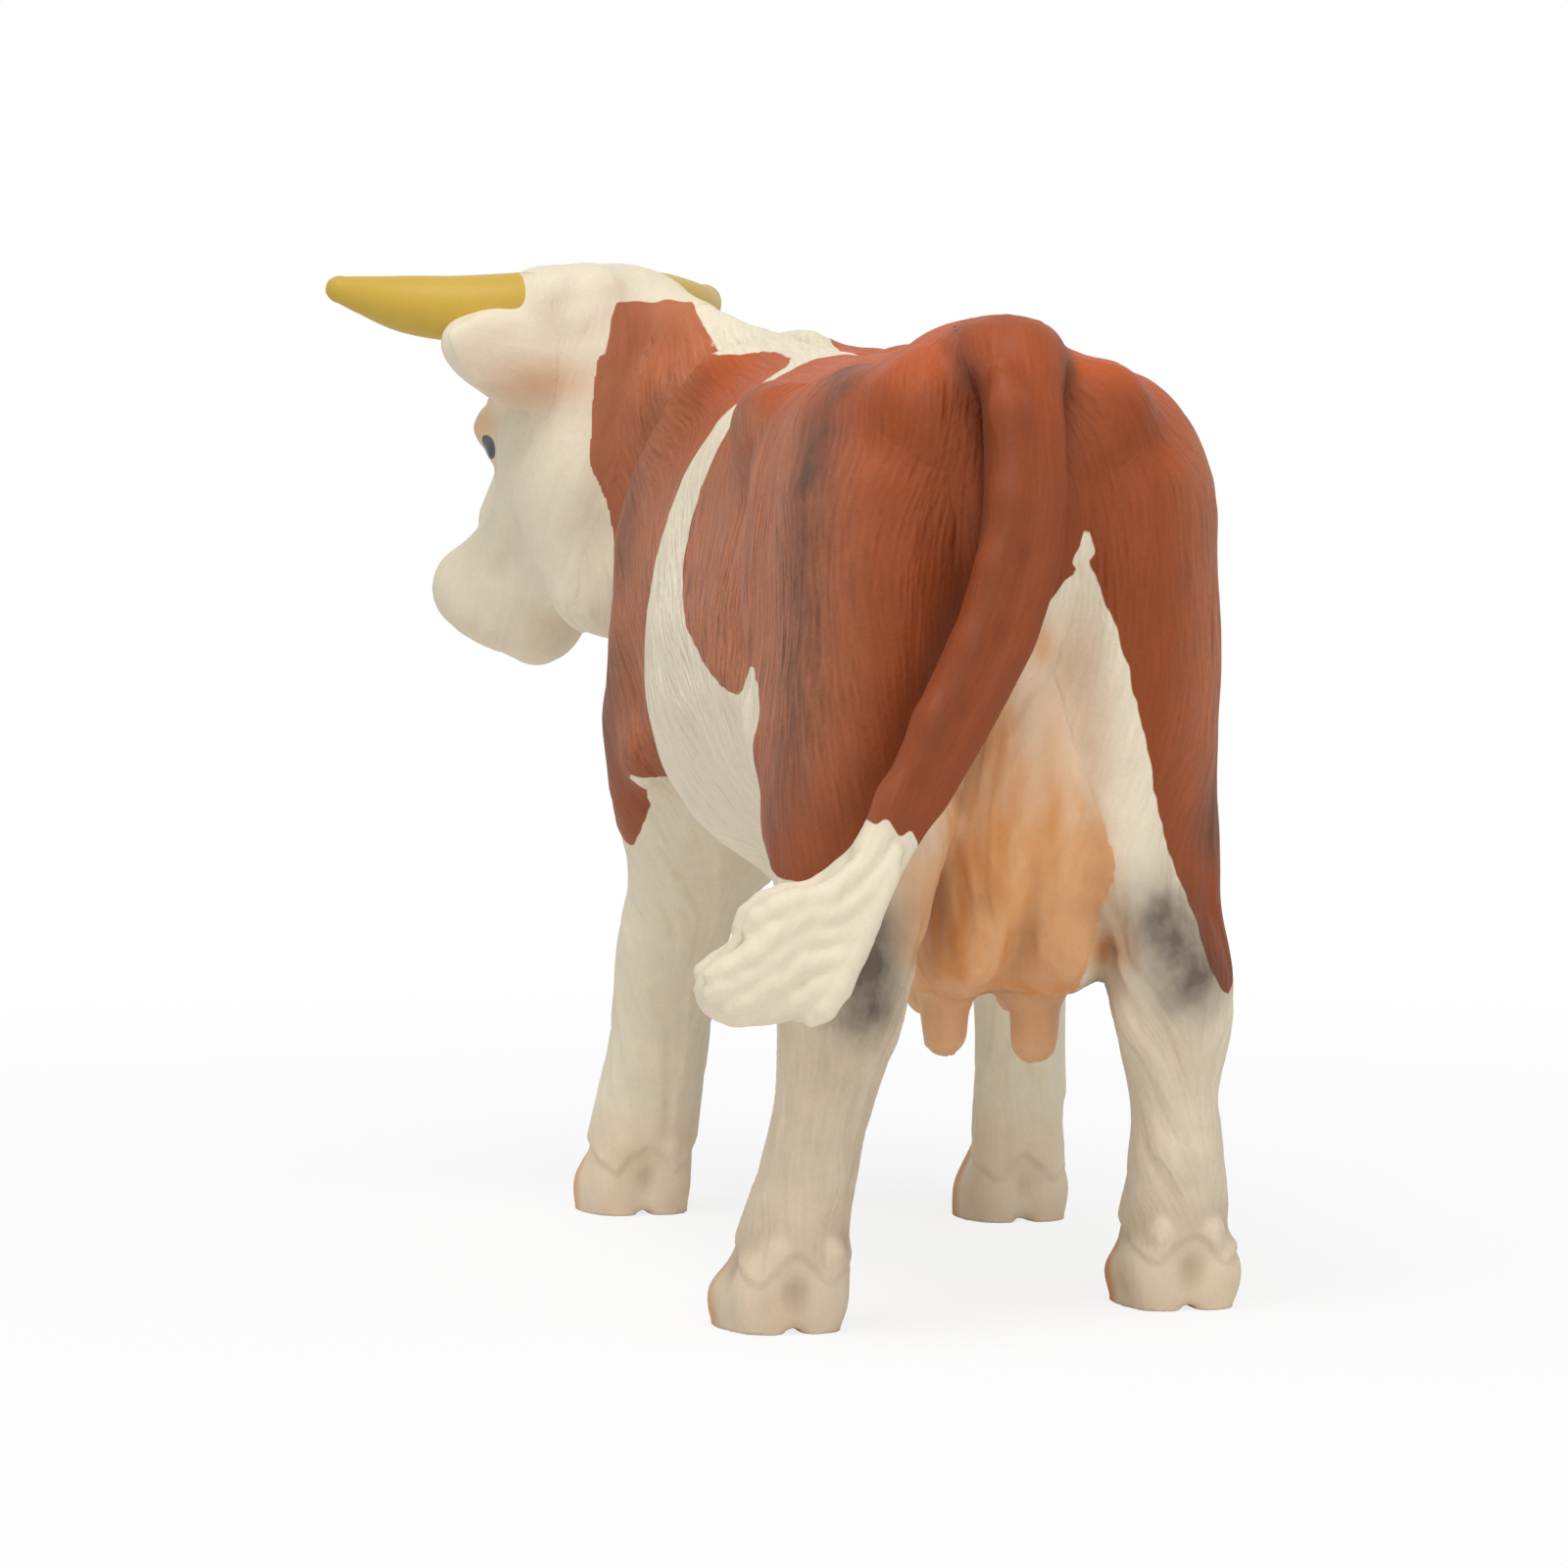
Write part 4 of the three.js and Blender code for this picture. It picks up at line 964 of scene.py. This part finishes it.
for node, low, high in (("ear_left", (38, 15, 70), (54, 35, 86)), ("ear_right", (48, -5, 70), (62, 14, 86))):
    MOULDS[node] = dict(box=(low, high), step=0.3, rank=5, wrinkle=0.02, round_off=0.5,
                        slot="cream_coat", look=coat_look, lie=ear_way, paint=paint_ear)

# Tail: a PVC moulding glued on the rump, swung across the left thigh, brown with a ridge along it and
# a cream tuft of wavy locks at its end. Points of its middle line; locks as aside and up.
TAIL_LINE = [(-41, 0.1, 78.8), (-44, 0.5, 76), (-45.2, 0.6, 73), (-46, 0.8, 66.2), (-46, 1.3, 61),
             (-46, 3.2, 55), (-46, 6.2, 49.2), (-46, 9.3, 43.2), (-46, 11.3, 39.4)]
LOCKS = [
    [(12.6, 39.5), (15.0, 36.8), (17.2, 35.2), (19.5, 34.8), (21.2, 34.3), (22.5, 33.5), (23.2, 32.5)],
    [(11.6, 38.4), (14.0, 35.4), (16.6, 33.8), (19.2, 33.6), (21.4, 32.2), (23.0, 30.8), (25.0, 29.8),
     (26.2, 29.2)],
    [(11.8, 37.2), (13.8, 34.2), (16.1, 32.2), (18.7, 32.0), (21.1, 30.5), (23.4, 28.9), (25.4, 28.2),
     (26.2, 27.8)],
    [(12, 36.6), (13.9, 33), (16.2, 30.4), (19.0, 30.1), (21.4, 28.4), (23.4, 27.3), (24.8, 26.7)],
    [(12.9, 35.4), (14.4, 31.8), (16.2, 29.2), (18.0, 28.2), (19.8, 27.2), (21.6, 26.4)],
    [(13.6, 34.2), (15, 30.8), (16.4, 28.2), (17.5, 26.6), (18.4, 25.8)],
]
TUFT_HOLLOW = [(-46, 6.0, 37.6), (-46, 9.4, 31.6), (-46, 12.6, 26.6), (-46, 15.0, 22.4)]


def carve_tail(clay, solid):
    tail = clay.twin(solid)
    tail.smooth(0.7)
    ridge = [(x - 1.6, y + 2.3 - 0.35 * i * (i < 3), z - 0.6) for i, (x, y, z) in enumerate(TAIL_LINE[1:])]
    tail.path("add", ridge, 0.85, 2.0, 0.95)
    tail.path("cut", [(x - 3.9, y + 0.2, z) for x, y, z in TAIL_LINE[3:]], 0.4, 2.4)
    tail.egg("add", (-40.2, 0.5, 77.5), (3.2, 2.8, 2.0), 1.5)
    tail.path("cut", TUFT_HOLLOW, 3.4, 1.0)
    for i, lock in enumerate(LOCKS):
        count = len(lock)
        swell = [0.48 + 0.58 * np.sin(np.pi * (j + 0.6) / (count + 0.4)) for j in range(count)]
        aside = [0.9 + 1.15 * size + 0.15 * (i % 2) for size in swell]
        for out in (-1, 1):
            points = [(-46.4 + out * aside[j], y, z) for j, (y, z) in enumerate(lock)]
            for j in range(count - 1):
                tail.rod("add", points[j], points[j + 1], 1.05 * swell[j], 0.4, 1.05 * swell[j + 1])
    tail.smooth(0.2)
    blend = 0.4 + 2.8 * ramp(clay.z + 0 * clay.value, 70, 77)
    clay.value = soft_min(clay.value, tail.value, blend)


def tail_way(points, normals):
    line = np.array(TAIL_LINE)
    nearest = np.argmin(((points[:, None] - line[None]) ** 2).sum(2), axis=1)
    return np.gradient(line, axis=0)[nearest]


def paint_tail(node, points, values):
    y, z = points[:, 1], points[:, 2]
    jagged = 0.35 * np.sin(y * 2.9) + brush_wobble(points)
    values["brown"] = (z - 39.6) * 0.8 - (y - 10.6) * 0.45 + jagged
    # Painted light: the tail's upper part is painted a lighter, more orange brown.
    values["top"] = 0.45 * ramp(z, 68, 79)
    # Painted shade: deeper in the tail's and tuft's grooves, and a little all over the tail.
    values["hollow"] = values["hollow"] * 1.5 + 0.1
    values["grey"] = np.maximum(values["grey"], 0.07)
    values["hair"] *= 0.6 * (0.3 + 0.7 * ramp(z, 36, 41))


MOULDS["tail"] = dict(box=((-51, -5, 22), (-33, 31, 82)), step=0.38, rank=6,
                      slot="brown_coat", look=coat_look, lie=tail_way, paint=paint_tail)


# Parting: the carved pattern is cut where one moulding meets the next, and the castings are glued with
# their pegs in their neighbours' pockets. Each piece keeps the skin that is nearer to its own solid;
# the one of higher rank laps over its neighbour, which sinks a little under it.
SOLE = 1.6  # below this the hooves go straight down
CORE_ROUNDING, LAST_ROUNDING = 1.0, 0.35  # how wide the solids' edges, and then the carving, are smoothed
LAP, SINK = 0.6, 0.02
RIDGE_WIDTH, RIDGE_REACH, RIDGE_HEIGHT = 1.0, 3.6, 0.05
LONGEST_SHIFT = 0.3  # how far a point of the mesh may be set right onto the surface at once
HOLLOW_WIDTH = 1.1  # the hollows of about this size are the ones that get painted shade


def sculpt(mould):
    """The whole figure's surface in one mould's box, with all anatomy, and the solids in that box."""
    low, high = np.array(mould["box"])
    clay = Clay(low, high, mould["step"])
    solids = {}
    for node in MOULDS:
        near, far = (np.array(corner) * 1000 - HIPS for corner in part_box(node))
        if (near > high + FAR).any() or (far < low - FAR).any():
            continue
        solids[node] = clay.solid(node)
        if node != "tail":
            clay.value = np.minimum(clay.value, solids[node])
    carve_trunk(clay)
    on_ground = low[2] < 0
    if on_ground:
        ground = np.abs(clay.z.ravel() - SOLE).argmin()
        clay.value[:, :, :ground] = clay.value[:, :, ground:ground + 1]
    clay.smooth(mould.get("round_off", CORE_ROUNDING))
    for node in FEET:
        if node in solids:
            carve_leg(clay, node)
    if "udder" in solids:
        carve_udder(clay)
    if "head" in solids:
        carve_head(clay)
        carve_ear(clay)
        carve_curls(clay)
    clay.smooth(LAST_ROUNDING)
    if on_ground:
        clay.value = np.maximum(clay.value, -clay.z)
    if "tail" in solids:
        carve_tail(clay, solids["tail"])
    return clay, solids


def part(clay, solids, node):
    """One moulding: the skin inside the region that lies nearer to its own solid than to any other."""
    skin = clay.value.copy()
    region = np.full_like(skin, -FAR)
    for other in solids:
        if other == node:
            continue
        wall = (solids[node] - solids[other]) / 2
        if MOULDS[node]["rank"] > MOULDS[other]["rank"]:
            wall = wall - LAP
        else:
            skin = skin + SINK * ramp(wall, -1.6, -0.8)
        region = np.maximum(region, wall)
    return clay.twin(np.maximum(skin, region))


def largest_part(points, faces):
    label = np.arange(len(points))
    while True:
        least = label[faces].min(axis=1)
        new = label.copy()
        for corner in range(faces.shape[1]):
            np.minimum.at(new, faces[:, corner], least)
        new = new[new]
        if (new == label).all():
            break
        label = new
    names, sizes = np.unique(label, return_counts=True)
    keep = label == names[sizes.argmax()]
    index = np.cumsum(keep) - 1
    return points[keep], index[faces[keep[faces[:, 0]]]]


def finer(points, faces):
    """Each four-sided face becomes four."""
    sides = np.stack([faces, np.roll(faces, -1, axis=1)], axis=2).reshape(-1, 2)
    key = np.sort(sides, axis=1) @ np.array([len(points), 1])
    unique, index = np.unique(key, return_inverse=True)
    middles = (points[unique // len(points)] + points[unique % len(points)]) / 2
    centres = points[faces].mean(axis=1)
    edge = index.reshape(-1, 4) + len(points)
    centre = np.arange(len(faces)) + len(points) + len(middles)
    parts = [np.stack([faces[:, i], edge[:, i], centre, edge[:, i - 1]], axis=1) for i in range(4)]
    return np.concatenate([points, middles, centres]), np.concatenate(parts)


def surface_of(clay, splits):
    """The clay's surface as points and faces that lie on it, its largest part only."""
    grid = vdb.FloatGrid(FAR)
    grid.copyFromArray(clay.value, ijk=tuple(int(i) for i in clay.first))
    grid.transform = vdb.createLinearTransform(voxelSize=clay.step)
    points, faces = grid.convertToQuads()
    points, faces = largest_part(points.astype(float), faces.astype(int))
    for _ in range(splits):
        points, faces = finer(points, faces)
    for _ in range(2):
        off = np.clip(clay.sample(points), -LONGEST_SHIFT, LONGEST_SHIFT)
        points = points - clay.slope(points) * off[:, None]
    return points, faces


def shaded_mesh(name, points, faces, values, skin, away):
    """A mesh whose shading follows its outer skin, also along the edge where it meets the next one."""
    corners = points[faces]
    across = np.cross(corners[:, 2] - corners[:, 0], corners[:, 3] - corners[:, 1])
    across *= np.where(skin[faces].min(axis=1) > 0.5, 1, 1e-4)[:, None]
    normals = np.stack([sum(np.bincount(faces[:, i], across[:, axis], len(points)) for i in range(4))
                        for axis in range(3)], axis=1)
    size = np.linalg.norm(normals, axis=1, keepdims=True)
    lost = (skin[:, None] > 0.2) & ((normals * away).sum(1, keepdims=True) < 0.7 * size)
    normals = np.where(lost, away, normals / np.maximum(size, 1e-12))
    mesh = bpy.data.meshes.new(name)
    mesh.from_pydata((points + HIPS) / 1000, [], faces.tolist())
    for key, numbers in values.items():
        wide = np.ndim(numbers) == 2
        layer = mesh.attributes.new(key, "FLOAT_VECTOR" if wide else "FLOAT", "POINT")
        layer.data.foreach_set("vector" if wide else "value", np.asarray(numbers, np.float32).ravel())
    mesh.shade_smooth()
    mesh.normals_split_custom_set_from_vertices(normals.tolist())
    return mesh


def hair_ridges(points, way):
    """Noise drawn out along the hair, about -1 to 1."""
    total = 0
    for t in np.linspace(-1, 1, 9):
        total = total + speckle(points + way * t * RIDGE_REACH, RIDGE_WIDTH, 11.0) * (1 - 0.6 * t * t)
    return np.tanh(1.5 * total / 1.15)


def cast(node, mould, clay, whole):
    """The moulding's mesh, with its moulded hair, what the painter put on it, and painted light and shade.
    """
    points, faces = surface_of(whole, mould.get("splits", 1))
    normals = clay.slope(points)
    skin = 1 - ramp(np.abs(clay.sample(points)), 0.1, 0.25)  # 1 outside, 0 on the walls of the parting
    way = mould.get("lie", coat_way)(points, normals)
    way = way / np.maximum(np.linalg.norm(way, axis=1, keepdims=True), 1e-6)
    blurred = clay.twin(clay.value)
    blurred.smooth(HOLLOW_WIDTH)
    values = coat(points, normals)
    # Painted shade: darker where the smoothed surface lies outside the real one, in creases and hollows.
    values["hollow"] = -blurred.sample(points)
    values["lie"] = way
    mould["paint"](node, points, values)
    ridges = hair_ridges(points, way)
    if "relief" in mould:
        height = mould["relief"](node, points, ridges)
    else:
        height = mould.get("wrinkle", RIDGE_HEIGHT) * ridges
    rise = normals * (height * skin)[:, None]
    rise[:, 2] *= ramp(points[:, 2], 1.5, 4.0)  # the soles stay flat on the ground
    return shaded_mesh(node, points + rise, faces, values, skin, normals)


mouldings = {}
for node, mould in MOULDS.items():
    clay, solids = sculpt(mould)
    mouldings[node] = bpy.data.objects.new(node, cast(node, mould, clay, part(clay, solids, node)))
    bpy.context.scene.collection.objects.link(mouldings[node])

for node, piece in mouldings.items():
    piece.data.materials.append(MOULDS[node]["look"])
    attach(piece, "root")
    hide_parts(node)


# Horns: two smooth, slightly curved PVC mouldings in yellow, set into the poll, each swept along its
# middle line with a blunt tip. Lines: points in the cow's frame with the horn's radius there.
HORN_LINES = dict(
    horn_left=[(47.5, 17.8, 83.5, 3.35), (47.0, 22, 83.2, 3.35), (46.9, 26, 83.0, 3.25),
               (47.6, 30.4, 83.05, 3.0), (49.0, 34.6, 83.5, 2.6), (50.6, 38, 84.3, 1.8),
               (51.5, 39.9, 84.8, 1.3)],
    horn_right=[(52.6, 14.4, 83.8, 3.3), (55.0, 11.4, 83.8, 3.3), (58.0, 8.6, 83.7, 3.15),
                (61.7, 6.0, 83.6, 2.9), (65.2, 4.0, 83.9, 2.35), (68.4, 2.5, 84.6, 1.7),
                (70.0, 1.9, 84.9, 1.2)],
)
HORN_SIDES, HORN_ROWS = 48, 120
HORN_YELLOW = "#c9a743"


def horn_tree():
    """Sweeps a ring along a line whose points carry the horn's radius as "thick"."""
    group = bpy.data.node_groups.new("sweep_horn", "GeometryNodeTree")
    for name, kind in (("Line", "Geometry"), ("Sides", "Int"), ("Rows", "Int"), ("Look", "Material")):
        group.interface.new_socket(name, in_out="INPUT", socket_type="NodeSocket" + kind)
    group.interface.new_socket("Horn", in_out="OUTPUT", socket_type="NodeSocketGeometry")
    make, join = group.nodes.new, group.links.new
    given = make("NodeGroupInput").outputs
    curve = make("GeometryNodeMeshToCurve")
    spline = make("GeometryNodeCurveSplineType")
    rows = make("GeometryNodeResampleCurve")
    ring = make("GeometryNodeCurvePrimitiveCircle")
    radius = make("GeometryNodeInputNamedAttribute")
    sweep = make("GeometryNodeCurveToMesh")
    smooth = make("GeometryNodeSetShadeSmooth")
    real = make("GeometryNodeRealizeInstances")
    look = make("GeometryNodeSetMaterial")
    out = make("NodeGroupOutput").inputs
    spline.spline_type = "CATMULL_ROM"
    radius.data_type = "FLOAT"
    radius.inputs["Name"].default_value = "thick"
    ring.inputs["Radius"].default_value = 1
    sweep.inputs["Fill Caps"].default_value = True
    join(given["Line"], curve.inputs[0])
    join(curve.outputs[0], spline.inputs[0])
    join(spline.outputs[0], rows.inputs["Curve"])
    join(given["Rows"], rows.inputs["Count"])
    join(given["Sides"], ring.inputs["Resolution"])
    join(rows.outputs[0], sweep.inputs["Curve"])
    join(ring.outputs["Curve"], sweep.inputs["Profile Curve"])
    join(radius.outputs["Attribute"], sweep.inputs["Scale"])
    join(sweep.outputs[0], smooth.inputs[0])
    join(smooth.outputs[0], real.inputs[0])
    join(real.outputs[0], look.inputs[0])
    join(given["Look"], look.inputs["Material"])
    join(look.outputs[0], out["Horn"])
    return group


def horn_colour(tree):
    return tint(HORN_YELLOW)


horn_look, *_ = painted("horn_paint", horn_colour, 0.42, 0.8, False, 0.15)
horns = horn_tree()
given_values = dict(Sides=HORN_SIDES, Rows=HORN_ROWS, Look=horn_look)
for node, line in HORN_LINES.items():
    end, radius = Vector(line[-1][:3]), line[-1][3]
    run = (end - Vector(line[-2][:3])).normalized()
    rows = list(line)
    for turn in np.linspace(0.2, 1.5, 7):
        rows.append((*(end + run * radius * 1.25 * np.sin(turn)), radius * max(np.cos(turn), 0.03)))
    points = np.array([row[:3] for row in rows]) + HIPS
    mesh = bpy.data.meshes.new(node + "_line")
    mesh.from_pydata(points / 1000, [(i, i + 1) for i in range(len(points) - 1)], [])
    thick = mesh.attributes.new("thick", "FLOAT", "POINT")
    thick.data.foreach_set("value", [row[3] / 1000 for row in rows])
    guide = bpy.data.objects.new(node + "_line", mesh)
    bpy.context.scene.collection.objects.link(guide)
    sweep = guide.modifiers.new("sweep", "NODES")
    sweep.node_group = horns
    for item in horns.interface.items_tree:
        if item.in_out == "INPUT" and item.name in given_values:
            sweep[item.identifier] = given_values[item.name]
    made = guide.evaluated_get(bpy.context.evaluated_depsgraph_get())
    mesh = bpy.data.meshes.new_from_object(made)
    bpy.data.objects.remove(guide)
    piece = bpy.data.objects.new(node, mesh)
    bpy.context.scene.collection.objects.link(piece)
    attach(piece, "root")
    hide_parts(node)

# Floor: pale paper on which the cow stands. It keeps her shadow near her and fades to white for the
# camera further out.
SHADOW_NEAR, SHADOW_FAR, WHITE_UNDER_HER = 0.07, 0.3, 0.8
floor = bpy.data.objects.new("floor", bpy.data.meshes.new("floor"))
floor.data.from_pydata([(-3, -3, 0), (3, -3, 0), (3, 3, 0), (-3, 3, 0)], [], [(0, 1, 2, 3)])
bpy.context.scene.collection.objects.link(floor)
floor_look = bpy.data.materials.new("paper_floor")
floor_look.use_nodes = True
tree = floor_look.node_tree
shader = tree.nodes["Principled BSDF"]
shader.inputs["Base Color"].default_value = (0.9, 0.9, 0.9, 1)
shader.inputs["Roughness"].default_value = 1
shader.inputs["Specular IOR Level"].default_value = 0
rays = tree.nodes.new("ShaderNodeLightPath")
place = tree.nodes.new("ShaderNodeTexCoord")
far = tree.nodes.new("ShaderNodeVectorMath")
far.operation = "LENGTH"
fade = tree.nodes.new("ShaderNodeMapRange")
fade.interpolation_type = "SMOOTHSTEP"
fade.inputs["From Min"].default_value = SHADOW_NEAR
fade.inputs["From Max"].default_value = SHADOW_FAR
fade.inputs["To Min"].default_value = WHITE_UNDER_HER
glow = tree.nodes.new("ShaderNodeEmission")
blend = tree.nodes.new("ShaderNodeMixShader")
tree.links.new(place.outputs["Object"], far.inputs[0])
tree.links.new(far.outputs["Value"], fade.inputs["Value"])
share = maths(tree, "MULTIPLY", fade.outputs["Result"], rays.outputs["Is Camera Ray"])
tree.links.new(share, blend.inputs[0])
tree.links.new(shader.outputs[0], blend.inputs[1])
tree.links.new(glow.outputs[0], blend.inputs[2])
tree.links.new(blend.outputs[0], tree.nodes["Material Output"].inputs["Surface"])
floor.data.materials.append(floor_look)

# Light: a plain pale room, which the camera and glossy surfaces see as white, and two soft boxes.
# Lamps: name, watts, size in metres, place.
LAMPS = [("key", 4.3, 0.6, (-0.3, 0.2, 0.8)), ("fill", 0.9, 0.5, (-0.6, -0.1, 0.25))]
world = bpy.data.worlds.new("studio")
bpy.context.scene.world = world
world.use_nodes = True
tree = world.node_tree
light = tree.nodes["Background"]
light.inputs["Color"].default_value = (0.96, 0.98, 1.0, 1)
light.inputs["Strength"].default_value = 0.44
white = tree.nodes.new("ShaderNodeBackground")
white.inputs["Color"].default_value = (1, 1, 1, 1)
rays = tree.nodes.new("ShaderNodeLightPath").outputs
seen = maths(tree, "MAXIMUM", rays["Is Camera Ray"], rays["Is Glossy Ray"])
seen = maths(tree, "MAXIMUM", seen, rays["Is Transmission Ray"])
blend = tree.nodes.new("ShaderNodeMixShader")
tree.links.new(seen, blend.inputs[0])
tree.links.new(light.outputs[0], blend.inputs[1])
tree.links.new(white.outputs[0], blend.inputs[2])
tree.links.new(blend.outputs[0], tree.nodes["World Output"].inputs["Surface"])

for name, watts, size, place in LAMPS:
    lamp = bpy.data.objects.new(name, bpy.data.lights.new(name, "AREA"))
    lamp.data.energy = watts
    lamp.data.size = size
    lamp.location = place
    lamp.rotation_euler = (Vector((0, 0, 0.04)) - lamp.location).to_track_quat("-Z", "Y").to_euler()
    bpy.context.scene.collection.objects.link(lamp)

bpy.context.scene.view_settings.view_transform = "Standard"
